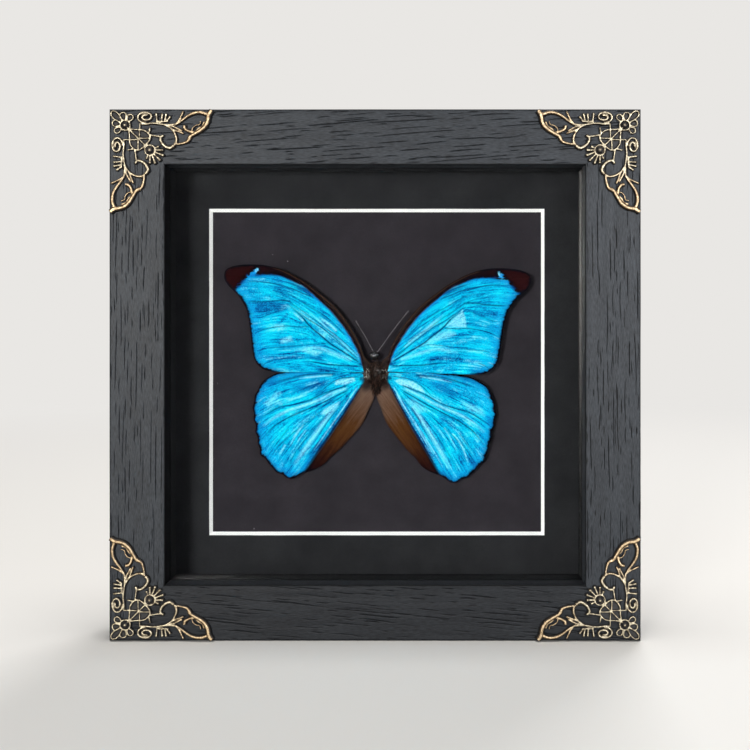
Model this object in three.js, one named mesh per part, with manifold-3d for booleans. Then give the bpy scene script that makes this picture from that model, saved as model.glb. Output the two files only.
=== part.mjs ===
// A framed butterfly specimen: four mitred wooden rails with a cast brass filigree on each corner, a glass
// pane, a deep black liner, a window mount with a bevelled edge, and a blue butterfly spread on dark card.
// Millimetres, +Z up, seen from -Y. The origin is the middle of the frame's underside.
import * as THREE from "three";
import { mergeVertices } from "three/addons/utils/BufferGeometryUtils.js";
import Module from "manifold-3d";

const wasm = await Module();
wasm.setup();

// ---- driving dimensions ----
const OUTER = 250; // side of the square frame
const RAIL_WIDTH = 26.2; // face width of a rail
const DEPTH = 34; // front face to back face of the wood
const LIP = 9.8; // thickness of the lip in front of the glass
const REBATE = 6; // how far the rebate is cut in behind the lip
const OUTER_ARRIS = 0.8; // small chamfer round the outside of the face
const INNER_ARRIS = 0.5; // small chamfer round the sight edge
const MITRE_GAP = 0.15; // half of the gap between two rails at a corner
const CLEAR = 0.1; // air between two stacked sheets
const EDGE_CLEAR = 0.5; // air between a sheet's edge and the rebate wall

const GLASS = 2;
const MAT_FRONT = 23.5; // depth of the window mount's face
const MAT = 1.6;
const WINDOW_WIDTH = 164.9; // opening of the mount, measured on its face
const WINDOW_HEIGHT = 160.6;
const WINDOW_SHIFT_X = -0.25;
const WINDOW_SHIFT_Z = 0.3;
const OVERCUT = 1; // how far a cutter runs past the piece that it cuts
const BACKING = 3;
const BACK_PANEL = 3;

const TAB_LENGTH = 14;
const TAB_WIDTH = 5;
const TAB = 0.5;
const TAB_IN_WOOD = 4.5; // the length driven into the rebate wall
const TAB_SPACING = 104; // between the two tabs of a rail
const SLOT_CLEAR = 0.3;

const HANGER_WIDTH = 46;
const HANGER_HEIGHT = 9;
const HANGER = 1;
const HANGER_STANDOFF = 0.1;
const HANGER_RISE = 2; // height of the nails above the middle of the top rail
const HANGER_TOP = 4; // height of the plate's top edge above the nails
const HANGER_END = 2; // half of the height of its narrow ends
const HANGER_SLOPE = 3; // length of the slope down to a narrow end
const TEETH = 7;
const TOOTH_PITCH = 3;
const TOOTH_DEPTH = 1.5;
const TOOTH_LAND = 2; // plain edge on each side of the teeth
const NAIL_SPACING = 37;
const NAIL_RADIUS = 0.7;
const NAIL_HEAD_RADIUS = 1.9;
const NAIL_HEAD = 0.8;
const NAIL_LENGTH = 9;
const NAIL_POINT = 1.5;
const NAIL_BEVEL = { inwards: 0.6, deep: 0.3 };
const ROUND_SIDES = 8; // sides of the nails and of the body's ellipsoids
const PROUD = 2; // how far the brass stands in front of the wood, and the nail heads behind it

const BRASS_STANDOFF = 0.05;
const CASTING = 1.2; // thickness of the filigree
const CUP_FLOOR = 0.6; // thickness of the floor that a bead sits on

const THORAX = { x: -0.4, z: 0.4, depth: 21.5, width: 7.8, thick: 6.8, length: 13 };
const HEAD = { x: -1.3, z: 8.5, depth: 21, width: 4.8, thick: 4.4, length: 5.2 };
const EYE = { radius: 1.15, apart: 1.5, forward: 0.5, up: 0.4 };
const ABDOMEN = { x: -0.5, z: -6.2, depth: 22.6, width: 4.2, thick: 3.6, length: 8 };
const WING_THICK = 0.4;
const PLEAT = 0.25; // the wings' shallow pleats, crest to mean
const WING_ROOT = { along: -3, back: 0.4 }; // where the ribs of a wing meet, in the body
const ANTENNA_THICK = 0.5;
const CLUB_THICK = 0.9;
const CLUB_FROM = 0.88; // share of the antenna's length at which its club starts

const CENTRE_Z = OUTER / 2;
const FACE_Y = -DEPTH / 2;
const SHEET = OUTER - 2 * (RAIL_WIDTH - REBATE + EDGE_CLEAR);
const SIGHT = OUTER - 2 * RAIL_WIDTH;

// Depths behind the front face of the wood, from the glass to the tabs.
const GLASS_FRONT = LIP + CLEAR;
const SPACER_FRONT = GLASS_FRONT + GLASS + CLEAR;
const SPACER_BACK = MAT_FRONT - CLEAR;
const BACKING_FRONT = MAT_FRONT + MAT + CLEAR;
const PANEL_FRONT = BACKING_FRONT + BACKING + CLEAR;
const TAB_FRONT = PANEL_FRONT + BACK_PANEL + CLEAR;

// ---- materials ----
const finish = (color, roughness, metalness = 0) =>
  new THREE.MeshStandardMaterial({ color, roughness, metalness });
const paintedWood = () => finish(0x45474a, 0.55);
const glassMaterial = () => {
  const material = finish(0xf2f6f6, 0.05);
  material.transparent = true;
  material.opacity = 0.15;
  return material;
};
const blackBoard = () => finish(0x141415, 0.9);
const mountBoard = () => finish(0x2c2b2d, 0.9);
const darkCard = () => finish(0x323136, 0.9);
const fibreboard = () => finish(0x9a7a55, 0.85);
const springSteel = () => finish(0xa9acae, 0.35, 1);
const agedBrass = () => finish(0xb9a070, 0.4, 1);
const butterflyBlue = () => finish(0x0aa4e8, 0.4);

// ---- solids ----
function solidOf(geometry) {
  const bare = geometry.clone();
  bare.deleteAttribute("normal");
  bare.deleteAttribute("uv");
  const merged = mergeVertices(bare);
  return new wasm.Manifold(
    new wasm.Mesh({
      numProp: 3,
      vertProperties: merged.attributes.position.array,
      triVerts: new Uint32Array(merged.index.array),
    }),
  );
}

function geometryOf(solid) {
  const mesh = solid.getMesh();
  const positions = new Float32Array(mesh.numVert * 3);
  for (let i = 0; i < mesh.numVert; i++) {
    const at = i * mesh.numProp;
    positions.set(mesh.vertProperties.subarray(at, at + 3), i * 3);
  }
  return new THREE.BufferGeometry()
    .setAttribute("position", new THREE.BufferAttribute(positions, 3))
    .setIndex(new THREE.BufferAttribute(mesh.triVerts, 1));
}

const united = (geometries) =>
  geometryOf(geometries.map(solidOf).reduce((whole, next) => whole.add(next)));

const cutFrom = (geometry, cutters) =>
  geometryOf(
    cutters.map(solidOf).reduce((whole, cutter) => whole.subtract(cutter), solidOf(geometry)),
  );

function pieceOf(name, geometry, material) {
  const mesh = new THREE.Mesh(geometry, material);
  mesh.name = name;
  return mesh;
}

// A closed geometry from points and triangles, with flat faces.
function faceted(points, triangles) {
  const geometry = new THREE.BufferGeometry().setFromPoints(points);
  geometry.setIndex(triangles);
  return geometry;
}

// A box given by its size, with its middle at x, z and its front at a depth behind the face.
function slab(width, depth, height, x, front, z) {
  const box = new THREE.BoxGeometry(width, depth, height);
  return box.translate(x, FACE_Y + front + depth / 2, z);
}

// ---- rails ----
// Each point is [distance inwards from the outer side, depth behind the face].
const RAIL_PROFILE = [
  [OUTER_ARRIS, 0],
  [RAIL_WIDTH - INNER_ARRIS, 0],
  [RAIL_WIDTH, INNER_ARRIS],
  [RAIL_WIDTH, LIP],
  [RAIL_WIDTH - REBATE, LIP],
  [RAIL_WIDTH - REBATE, DEPTH],
  [0, DEPTH],
  [0, OUTER_ARRIS],
];

// A bar along X with both ends mitred at 45 degrees. It lies at the bottom of the square.
function mitredBar(profile) {
  const points = [-1, 1].flatMap((side) =>
    profile.map(([inwards, depth]) => {
      const reach = OUTER / 2 - inwards - MITRE_GAP * Math.SQRT2;
      return new THREE.Vector3(side * reach, FACE_Y + depth, inwards - CENTRE_Z);
    }),
  );
  const outline = profile.map(([inwards, depth]) => new THREE.Vector2(inwards, depth));
  const cap = THREE.ShapeUtils.triangulateShape(outline, []);
  const count = profile.length;
  const triangles = [];
  for (const [a, b, c] of cap) {
    triangles.push(a, b, c, a + count, c + count, b + count);
  }
  for (let i = 0; i < count; i++) {
    const j = (i + 1) % count;
    triangles.push(i, j + count, j, i, i + count, j + count);
  }
  return faceted(points, triangles);
}

const tabPlaces = [-TAB_SPACING / 2, TAB_SPACING / 2];

function tabSlot(x) {
  const deep = TAB_IN_WOOD + SLOT_CLEAR + OVERCUT;
  const wall = RAIL_WIDTH - REBATE + OVERCUT;
  const z = wall - deep / 2 - CENTRE_Z;
  return slab(TAB_WIDTH + 2 * SLOT_CLEAR, TAB + 2 * SLOT_CLEAR, deep, x, TAB_FRONT - SLOT_CLEAR, z);
}

// A thin steel point: square in the wood, rounded where it holds the back panel down.
function tabGeometry(x) {
  const half = TAB_WIDTH / 2;
  const outline = new THREE.Shape();
  outline.moveTo(-half, 0);
  outline.lineTo(half, 0);
  outline.lineTo(half, TAB_LENGTH - half);
  outline.absarc(0, TAB_LENGTH - half, half, 0, Math.PI, false);
  outline.lineTo(-half, 0);
  const plate = new THREE.ExtrudeGeometry(outline, { depth: TAB, bevelEnabled: false, curveSegments: 3 });
  const root = RAIL_WIDTH - REBATE - TAB_IN_WOOD - CENTRE_Z;
  return plate.rotateX(Math.PI / 2).translate(x, FACE_Y + TAB_FRONT + TAB, root);
}

const HANGER_Z = CENTRE_Z - RAIL_WIDTH / 2 + HANGER_RISE; // height of the nails above the frame's middle
const nailPlaces = [-NAIL_SPACING / 2, NAIL_SPACING / 2];

function nailHole(x) {
  const radius = NAIL_RADIUS + SLOT_CLEAR;
  const length = NAIL_LENGTH + 2 * OVERCUT;
  const bore = new THREE.CylinderGeometry(radius, radius, length, ROUND_SIDES);
  return bore.translate(x, -FACE_Y - NAIL_LENGTH + length / 2, HANGER_Z);
}

function rails() {
  const bar = mitredBar(RAIL_PROFILE);
  const slots = tabPlaces.map(tabSlot);
  const slotted = cutFrom(bar, slots);
  // The top rail is a bottom rail turned half round, so its nail holes are turned before they are cut.
  const holes = nailPlaces.map((x) => nailHole(x).rotateY(Math.PI));
  const drilled = cutFrom(bar, [...slots, ...holes]);
  const sides = [
    ["bottom", slotted],
    ["right", slotted],
    ["top", drilled],
    ["left", slotted],
  ];
  return sides.map(([side, geometry], turn) => {
    const group = new THREE.Group();
    group.rotation.y = (-turn * Math.PI) / 2;
    group.add(pieceOf(`${side}_rail`, geometry, paintedWood()));
    tabPlaces.forEach((x, i) =>
      group.add(pieceOf(`${side}_retaining_tab_${i + 1}`, tabGeometry(x), springSteel())),
    );
    return group;
  });
}

// ---- hanger ----
function sawtoothPlate() {
  const end = HANGER_WIDTH / 2;
  const slope = end - HANGER_SLOPE;
  const foot = HANGER_TOP - HANGER_HEIGHT;
  const toothed = (TEETH * TOOTH_PITCH) / 2;
  const outline = new THREE.Shape();
  outline.moveTo(-end, -HANGER_END);
  outline.lineTo(-end, HANGER_END);
  outline.lineTo(-slope, HANGER_TOP);
  outline.lineTo(slope, HANGER_TOP);
  outline.lineTo(end, HANGER_END);
  outline.lineTo(end, -HANGER_END);
  outline.lineTo(slope, -HANGER_TOP);
  outline.lineTo(toothed + TOOTH_LAND, foot);
  outline.lineTo(toothed, foot);
  for (let i = 0; i < TEETH; i++) {
    const x = toothed - i * TOOTH_PITCH;
    outline.lineTo(x - TOOTH_PITCH / 2, foot + TOOTH_DEPTH);
    outline.lineTo(x - TOOTH_PITCH, foot);
  }
  outline.lineTo(-toothed - TOOTH_LAND, foot);
  outline.lineTo(-slope, -HANGER_TOP);
  for (const x of nailPlaces) {
    const hole = new THREE.Path();
    hole.absarc(x, 0, NAIL_RADIUS + SLOT_CLEAR, 0, 2 * Math.PI);
    outline.holes.push(hole);
  }
  const thickened = { depth: HANGER, bevelEnabled: false, curveSegments: 5 };
  const plate = new THREE.ExtrudeGeometry(outline, thickened);
  return plate.rotateX(Math.PI / 2).translate(0, -FACE_Y + HANGER_STANDOFF + HANGER, HANGER_Z);
}

// Turned about its own axis: a flat head outside and a shank with a short point in the wood.
function nailGeometry(x) {
  const headBack = PROUD;
  const headFront = PROUD - NAIL_HEAD;
  const profile = [
    [0, headFront - NAIL_LENGTH],
    [NAIL_RADIUS, headFront - NAIL_LENGTH + NAIL_POINT],
    [NAIL_RADIUS, headFront],
    [NAIL_HEAD_RADIUS, headFront],
    [NAIL_HEAD_RADIUS, headBack - NAIL_BEVEL.deep],
    [NAIL_HEAD_RADIUS - NAIL_BEVEL.inwards, headBack],
    [0, headBack],
  ];
  const turned = new THREE.LatheGeometry(
    profile.map(([radius, y]) => new THREE.Vector2(radius, y)),
    ROUND_SIDES,
  );
  return turned.translate(x, -FACE_Y, HANGER_Z);
}

function hanger() {
  const nails = nailPlaces.map((x, i) => pieceOf(`hanger_nail_${i + 1}`, nailGeometry(x), springSteel()));
  return [pieceOf("sawtooth_hanger", sawtoothPlate(), springSteel()), ...nails];
}

// ---- what is held in the rebate ----
const glassPane = () =>
  pieceOf("glass_pane", slab(SHEET, GLASS, SHEET, 0, GLASS_FRONT, 0), glassMaterial());

// Four black strips line the deep space between the glass and the mount, flush with the sight edge.
function spacers() {
  const deep = SPACER_BACK - SPACER_FRONT;
  const thick = (SHEET - SIGHT) / 2;
  const middle = SIGHT / 2 + thick / 2;
  const strips = [
    ["top", SHEET, thick, 0, middle],
    ["bottom", SHEET, thick, 0, -middle],
    ["left", thick, SIGHT - 2 * CLEAR, -middle, 0],
    ["right", thick, SIGHT - 2 * CLEAR, middle, 0],
  ];
  return strips.map(([side, width, height, x, z]) =>
    pieceOf(`${side}_spacer`, slab(width, deep, height, x, SPACER_FRONT, z), blackBoard()),
  );
}

// A block between two depths whose back rectangle is smaller than its front one by twice the inset.
function taperedBlock(width, height, front, back, inset) {
  const corners = (halfWidth, halfHeight, depth) =>
    [[-1, -1], [1, -1], [1, 1], [-1, 1]].map(
      ([sx, sz]) => new THREE.Vector3(sx * halfWidth, FACE_Y + depth, sz * halfHeight),
    );
  const points = [
    ...corners(width / 2, height / 2, front),
    ...corners(width / 2 - inset, height / 2 - inset, back),
  ];
  const triangles = [0, 1, 2, 0, 2, 3, 4, 6, 5, 4, 7, 6];
  for (let i = 0; i < 4; i++) {
    const j = (i + 1) % 4;
    triangles.push(i, i + 4, j + 4, i, j + 4, j);
  }
  return faceted(points, triangles);
}

// The window is cut with a 45 degree bevel that faces forward, so its back edge is the smaller one.
function windowMount() {
  const cutter = taperedBlock(
    WINDOW_WIDTH + 2 * OVERCUT,
    WINDOW_HEIGHT + 2 * OVERCUT,
    MAT_FRONT - OVERCUT,
    MAT_FRONT + MAT + OVERCUT,
    MAT + 2 * OVERCUT,
  ).translate(WINDOW_SHIFT_X, 0, WINDOW_SHIFT_Z);
  const board = slab(SHEET, MAT, SHEET, 0, MAT_FRONT, 0);
  return pieceOf("window_mount", cutFrom(board, [cutter]), mountBoard());
}

const backingCard = () =>
  pieceOf("backing_card", slab(SHEET, BACKING, SHEET, 0, BACKING_FRONT, 0), darkCard());
const backPanel = () =>
  pieceOf("back_panel", slab(SHEET, BACK_PANEL, SHEET, 0, PANEL_FRONT, 0), fibreboard());

// ---- filigree corners ----
// The casting is drawn for the top left corner: u runs right from the frame's corner and v runs down.
// It is the same on both sides of its diagonal, so a line off the diagonal is drawn once and then swapped.
const LINES = {
  rim: { width: 1.6, points: [[48.4, 1], [47, 4.2], [45.6, 8.6], [37.4, 13.8], [36.4, 16], [30, 18.4]] },
  drop: { width: 1.3, points: [[46.8, 3.6], [42.4, 1.9], [37.6, 3], [31, 7.6]] },
  blade: { width: 0.9, points: [[31.4, 7.4], [35.3, 1]] },
  stem: { width: 0.9, points: [[31.6, 7.4], [26, 7.6], [15.8, 6.9]] },
  scroll: {
    width: 1.1,
    points: [[26.4, 7.6], [30.2, 10], [32, 14.4], [29.6, 18], [26.2, 17.9], [24.2, 15], [26.6, 12.4]],
  },
  twig: { width: 0.7, points: [[22.4, 7], [27.4, 5.7], [29.1, 3.7]] },
  twigTineA: { width: 0.9, points: [[23, 7], [22.4, 1.6]] },
  twigTineB: { width: 0.9, points: [[25.8, 6], [27.2, 2]] },
  leaf: { width: 1, points: [[35.7, 7.7], [36.6, 10.5], [41.2, 11.4]] },
  net: { width: 0.8, points: [[9.4, 9.4], [16.2, 9.9], [19.2, 12.4], [19.4, 14.8], [17.1, 17.1]] },
  netBarA: { width: 0.7, points: [[14.7, 7], [14.7, 14]] },
  netBarB: { width: 0.7, points: [[14, 14], [19.3, 13.8]] },
  spike: { width: 0.8, points: [[19, 12.3], [19.8, 8.4]] },
  link: { width: 0.9, points: [[19, 12.3], [25.4, 13.2]] },
};
const DIAGONAL_BAR = { width: 0.8, points: [[9, 9], [17.4, 17.4]] };

const FLOWER = { at: 7.9, ring: 2.1, wire: 0.9, bead: 1.1 };
// Turns are degrees from the diagonal, towards the frame's corner.
const FLOWER_PETALS = [
  { turn: 0, reach: 7.7, width: 3.1 },
  { turn: 57, reach: 6.3, width: 2.9 },
  { turn: 108, reach: 5.4, width: 2.6 },
];
const PETAL_WIRE = { end: 0.9, side: 0.6 };
const DAISY = { at: 19.4, ring: 2.4, wire: 0.9, bead: 1.3 };
// Turns are degrees from the diagonal, towards the glass.
const DAISY_PETALS = [
  { turn: 0, reach: 6.9 },
  { turn: 24, reach: 7 },
  { turn: 48, reach: 6.9 },
  { turn: 72, reach: 5.4 },
];
const SPOON = { neck: 0.4, bowl: 0.95 }; // half widths

// The coil at the end of the stem, from its join inwards.
const COIL = {
  u: 16.4,
  v: 4.1,
  startRadius: 3.3,
  endRadius: 0.9,
  turns: 1.5,
  squash: 0.85,
  width: 0.9,
  steps: 8,
};

function coilPoints() {
  const points = [];
  for (let i = 0; i <= COIL.steps; i++) {
    const share = i / COIL.steps;
    const angle = Math.PI / 2 + share * COIL.turns * 2 * Math.PI;
    const radius = THREE.MathUtils.lerp(COIL.startRadius, COIL.endRadius, share);
    const u = COIL.u + radius * Math.cos(angle);
    const v = COIL.v + COIL.squash * radius * Math.sin(angle);
    points.push(new THREE.Vector2(u, v));
  }
  return points;
}

// Points are [u, v]; the shape is drawn with y up, so v is turned over.
const onPlan = (point) => new THREE.Vector2(point.x, -point.y);

const drawn = (points) => points.map(([u, v]) => new THREE.Vector2(u, v));

// A flat wire of even width along a line of points, with square ends.
function wire(points, width) {
  const path = points.map(onPlan);
  const sides = path.map((point, i) => {
    const before = path[Math.max(i - 1, 0)];
    const after = path[Math.min(i + 1, path.length - 1)];
    const along = after.clone().sub(before).normalize();
    const across = new THREE.Vector2(-along.y, along.x).multiplyScalar(width / 2);
    return [point.clone().add(across), point.clone().sub(across)];
  });
  const outline = [...sides.map(([left]) => left), ...sides.map(([, right]) => right).reverse()];
  return castFrom(new THREE.Shape(outline));
}

// A flat shape given a thickness, which stands forward from the wood.
function castFrom(shape, depth = CASTING) {
  return new THREE.ExtrudeGeometry(shape, { depth, bevelEnabled: false, curveSegments: 4 });
}

const swapped = (points) => points.map((point) => new THREE.Vector2(point.y, point.x));

function bothSides(points, width) {
  return [wire(points, width), wire(swapped(points), width)];
}

// A cup on the diagonal: a ring of wire with a thin floor and a bead in its middle.
function beadedCup({ at, ring, wire: thick, bead }) {
  const disc = () => new THREE.Shape().absarc(at, -at, ring + thick / 2, 0, 2 * Math.PI);
  const rim = disc();
  rim.holes.push(new THREE.Path().absarc(at, -at, ring - thick / 2, 0, 2 * Math.PI, true));
  const ball = new THREE.SphereGeometry(1, 6, 4).rotateX(Math.PI / 2);
  ball.scale(bead, bead, PROUD - BRASS_STANDOFF - CUP_FLOOR / 2).translate(at, -at, CUP_FLOOR / 2);
  const below = 3 * bead;
  const cutter = new THREE.BoxGeometry(below, below, below).translate(at, -at, -below / 2);
  return [castFrom(rim), castFrom(disc(), CUP_FLOOR), cutFrom(ball, [cutter])];
}

// A flower's petals on both sides of the diagonal.
const fanned = (petals) =>
  petals.flatMap((petal) => (petal.turn ? [petal, { ...petal, turn: -petal.turn }] : [petal]));

// A petal of the corner flower is a loop of wire, drawn as one lozenge inside another.
function hollowPetal({ turn, reach, width }) {
  const lozenge = (start, end, half) => [
    new THREE.Vector2(start, 0),
    new THREE.Vector2((start + end) / 2, -half),
    new THREE.Vector2(end, 0),
    new THREE.Vector2((start + end) / 2, half),
  ];
  const { end, side } = PETAL_WIRE;
  const loop = new THREE.Shape(lozenge(FLOWER.ring, reach, width / 2));
  const eye = lozenge(FLOWER.ring + end, reach - end, width / 2 - side);
  loop.holes.push(new THREE.Path(eye.reverse()));
  const angle = THREE.MathUtils.degToRad(135 + turn);
  return castFrom(loop).rotateZ(angle).translate(FLOWER.at, -FLOWER.at, 0);
}

// A petal of the daisy is a spoon: a thin neck from the ring and a blunt end.
function spoonPetal({ turn, reach }) {
  const angle = THREE.MathUtils.degToRad(-45 + turn);
  const { neck, bowl } = SPOON;
  const outline = new THREE.Shape();
  outline.moveTo(DAISY.ring, -neck);
  outline.lineTo(reach - bowl, -bowl);
  outline.lineTo(reach, -neck);
  outline.lineTo(reach, neck);
  outline.lineTo(reach - bowl, bowl);
  outline.lineTo(DAISY.ring, neck);
  return castFrom(outline).rotateZ(angle).translate(DAISY.at, -DAISY.at, 0);
}

function filigree() {
  const lines = Object.values(LINES).flatMap(({ width, points }) => bothSides(drawn(points), width));
  const casting = united([
    ...lines,
    ...bothSides(coilPoints(), COIL.width),
    wire(drawn(DIAGONAL_BAR.points), DIAGONAL_BAR.width),
    ...beadedCup(FLOWER),
    ...beadedCup(DAISY),
    ...fanned(FLOWER_PETALS).map(hollowPetal),
    ...fanned(DAISY_PETALS).map(spoonPetal),
  ]);
  // Stood up in front of the face: the casting's thickness runs towards -Y.
  return casting.rotateX(Math.PI / 2).translate(-OUTER / 2, FACE_Y - BRASS_STANDOFF, CENTRE_Z);
}

function corners() {
  const casting = filigree();
  return ["top_left", "top_right", "bottom_right", "bottom_left"].map((place, turn) => {
    const group = new THREE.Group();
    group.rotation.y = (turn * Math.PI) / 2;
    group.add(pieceOf(`corner_${place}`, casting, agedBrass()));
    return group;
  });
}

// ---- butterfly ----
// Wing outlines are drawn for a right wing, from its hinge: x outwards, z up, and how far the edge drops
// back.
const FORE_OUTLINE = [
  [-2.5, 2.6, 0.6], [1.6, 9, 0.2], [4.9, 15.9, 0], [9.1, 22.4, 0], [13.9, 28.4, 0], [19.6, 33.6, 0],
  [25.7, 38.3, 0], [32.1, 42.6, 0], [38.9, 46.2, 0], [46.2, 48.6, 0], [53.9, 49.4, 0], [61.6, 49.1, 0],
  [67, 47.6, 0], [69.4, 44.6, 0], [67.7, 39.4, 0], [62.3, 34, 0], [58.3, 27.4, 0], [56.6, 19.9, 0],
  [55.6, 12.3, 0], [54.4, 4.7, 0], [52.7, 1.2, 0], [49.8, -1.3, 0], [46.2, -2.4, 0], [42.3, -2.7, 0],
  [30, -2.6, 0], [18, -2.3, 0], [6, -2.2, 0.2], [-2.5, -1.6, 0.6],
];
const HIND_OUTLINE = [
  [-2, 2.4, 0.2], [10, 3.4, 0], [24, 4.2, 0], [36, 3.6, 0], [42.4, 2.3, 0], [47.8, -0.1, 0],
  [52, -4.2, 0], [54.2, -9.6, 0], [55.2, -15.4, 0], [53.8, -19.4, 0], [54.2, -25.6, 0],
  [52.2, -29.4, 0], [51.9, -35.2, 0], [49.4, -38.8, 0], [45.8, -43.6, 0], [40.6, -47.4, 0],
  [35.4, -49.6, 0], [31.7, -47.8, 0], [26.3, -45.4, 0.5], [20.9, -43, 1.2], [16.9, -38.7, 1.8],
  [12.5, -34.7, 2.2], [8.7, -30.3, 2.4], [4.8, -25.7, 2.4], [1.4, -20.9, 2.2], [-0.8, -15.4, 1.8],
  [-3.2, -10, 1.2], [-3.7, -7.1, 0.8], [-3.6, -3, 0.3],
];
const WING_RINGS = [0.5, 1]; // where the ribs of a wing are cut, from its hinge to its edge

// Hinges are in millimetres from the frame's middle; turn is in degrees, positive lifts the tip.
const WINGS = [
  { outline: FORE_OUTLINE, side: 1, x: 4.7, z: 2.8, depth: 20.2, turn: -1.15, rise: 0.012 },
  { outline: FORE_OUTLINE, side: -1, x: -5.9, z: 2.4, depth: 20.2, turn: 1.15, rise: 0.012 },
  { outline: HIND_OUTLINE, side: 1, x: 3.5, z: -2.9, depth: 21.1, turn: -2.1, rise: 0.006 },
  { outline: HIND_OUTLINE, side: -1, x: -4.9, z: -3.5, depth: 21.1, turn: 2.1, rise: 0.006 },
];

// Ribs run from the hinge to each point of the outline, and every other rib is a crest.
function wingGeometry({ outline, side, x, z, depth, turn, rise }) {
  const angle = THREE.MathUtils.degToRad(turn);
  const hinge = new THREE.Vector2(WING_ROOT.along, 0);
  const place = (along, up, back) => {
    const spun = new THREE.Vector2(along, up).rotateAround(new THREE.Vector2(), angle);
    return new THREE.Vector3(x + side * spun.x, FACE_Y + depth + back - rise * along, z + spun.y);
  };
  const front = [place(hinge.x, hinge.y, WING_ROOT.back)];
  for (const ring of WING_RINGS) {
    outline.forEach(([along, up, drop], i) => {
      const pleat = ring < 1 ? PLEAT * (i % 2 ? 1 : -1) : 0;
      const spot = hinge.clone().lerp(new THREE.Vector2(along, up), ring);
      front.push(place(spot.x, spot.y, drop * ring * ring + pleat));
    });
  }
  return closedSheet(front, outline.length, side);
}

// Closes a fan of rings into a thin plate. The fan starts at point 0; side is -1 for a mirrored wing.
function closedSheet(front, ribs, side) {
  const under = front.length;
  const back = front.map((point) => point.clone().add(new THREE.Vector3(0, WING_THICK, 0)));
  const triangles = [];
  const face = (a, b, c) => triangles.push(...(side > 0 ? [a, b, c] : [a, c, b]));
  const bothFaces = (a, b, c) => {
    face(a, c, b);
    face(a + under, b + under, c + under);
  };
  const wall = (a, b) => {
    face(a, b, b + under);
    face(a, b + under, a + under);
  };
  const at = (ring, rib) => 1 + ring * ribs + rib;
  const last = WING_RINGS.length - 1;
  for (let i = 0; i < ribs - 1; i++) {
    bothFaces(0, at(0, i), at(0, i + 1));
    for (let ring = 0; ring < last; ring++) {
      bothFaces(at(ring, i), at(ring + 1, i), at(ring + 1, i + 1));
      bothFaces(at(ring, i), at(ring + 1, i + 1), at(ring, i + 1));
    }
    wall(at(last, i), at(last, i + 1));
  }
  const edge = (rib) => [0, ...WING_RINGS.map((_, ring) => at(ring, rib))];
  const firstEdge = edge(0);
  const lastEdge = edge(ribs - 1);
  for (let i = 0; i <= last; i++) {
    wall(firstEdge[i], firstEdge[i + 1]);
    wall(lastEdge[i + 1], lastEdge[i]);
  }
  return faceted([...front, ...back], triangles);
}

function ellipsoid({ x, z, depth, width, thick, length }) {
  const ball = new THREE.SphereGeometry(0.5, ROUND_SIDES, 6);
  return ball.rotateX(Math.PI / 2).scale(width, thick, length).translate(x, FACE_Y + depth, z);
}

// Feelers: a thin rod from the head, ending in a slightly thicker club. Points are [x, z, depth].
const ANTENNAE = [
  [[-1.6, 10, 20.4], [-5.6, 17.6, 20.2], [-10.4, 25.6, 20.6]],
  [[0, 10, 20.4], [5.8, 18, 20.2], [15.4, 30.4, 20.6]],
];

function antennaGeometry(points) {
  const stops = points.map(([x, z, depth]) => new THREE.Vector3(x, FACE_Y + depth, z));
  const route = new THREE.CatmullRomCurve3(stops);
  const section = (thick) => new THREE.Shape().absarc(0, 0, thick / 2, 0, 2 * Math.PI);
  const rod = new THREE.ExtrudeGeometry(section(ANTENNA_THICK), {
    extrudePath: route,
    steps: 3,
    curveSegments: 2,
  });
  const tip = route.getPoint(1);
  const before = route.getPoint(CLUB_FROM);
  const club = new THREE.ExtrudeGeometry(section(CLUB_THICK), {
    extrudePath: new THREE.LineCurve3(before, tip),
    steps: 1,
    curveSegments: 2,
  });
  return united([rod, club]);
}

function eyeGeometry(side) {
  const eye = new THREE.SphereGeometry(EYE.radius, 6, 4);
  return eye.translate(
    HEAD.x + side * EYE.apart,
    FACE_Y + HEAD.depth - EYE.forward,
    HEAD.z + EYE.up,
  );
}

function butterfly() {
  const body = united([
    ellipsoid(THORAX),
    ellipsoid(HEAD),
    ellipsoid(ABDOMEN),
    eyeGeometry(-1),
    eyeGeometry(1),
    ...ANTENNAE.map(antennaGeometry),
    ...WINGS.map(wingGeometry),
  ]);
  return pieceOf("butterfly", body, butterflyBlue());
}

// ---- the framed specimen ----
const framedButterfly = new THREE.Group();
const standing = new THREE.Group(); // everything is drawn round the frame's middle, then stood on its base
standing.position.z = CENTRE_Z;
standing.add(
  ...rails(),
  ...hanger(),
  glassPane(),
  ...spacers(),
  windowMount(),
  backingCard(),
  backPanel(),
  ...corners(),
  butterfly(),
);
framedButterfly.add(standing);

export default framedButterfly;
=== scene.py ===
"""Finishes for a framed butterfly specimen: painted oak rails with brass filigree corners, glass, a bevelled
window mount and a blue butterfly on dark card. Drawings are in millimetres and meshes in metres, with +Z up
and the front facing -Y. Every piece keeps the place and size of the solid that it stands for.
"""

import functools
import logging
import math
from collections.abc import Callable, Iterable, Mapping, Sequence
from dataclasses import dataclass
from enum import Enum
from typing import Any

import bmesh
from bmesh.types import BMesh
import bpy
import numpy as np
from bpy.types import Material, Mesh, Node, NodeSocket, NodeTree, Object, World
from mathutils import Matrix, Vector
from mathutils.geometry import delaunay_2d_cdt


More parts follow.
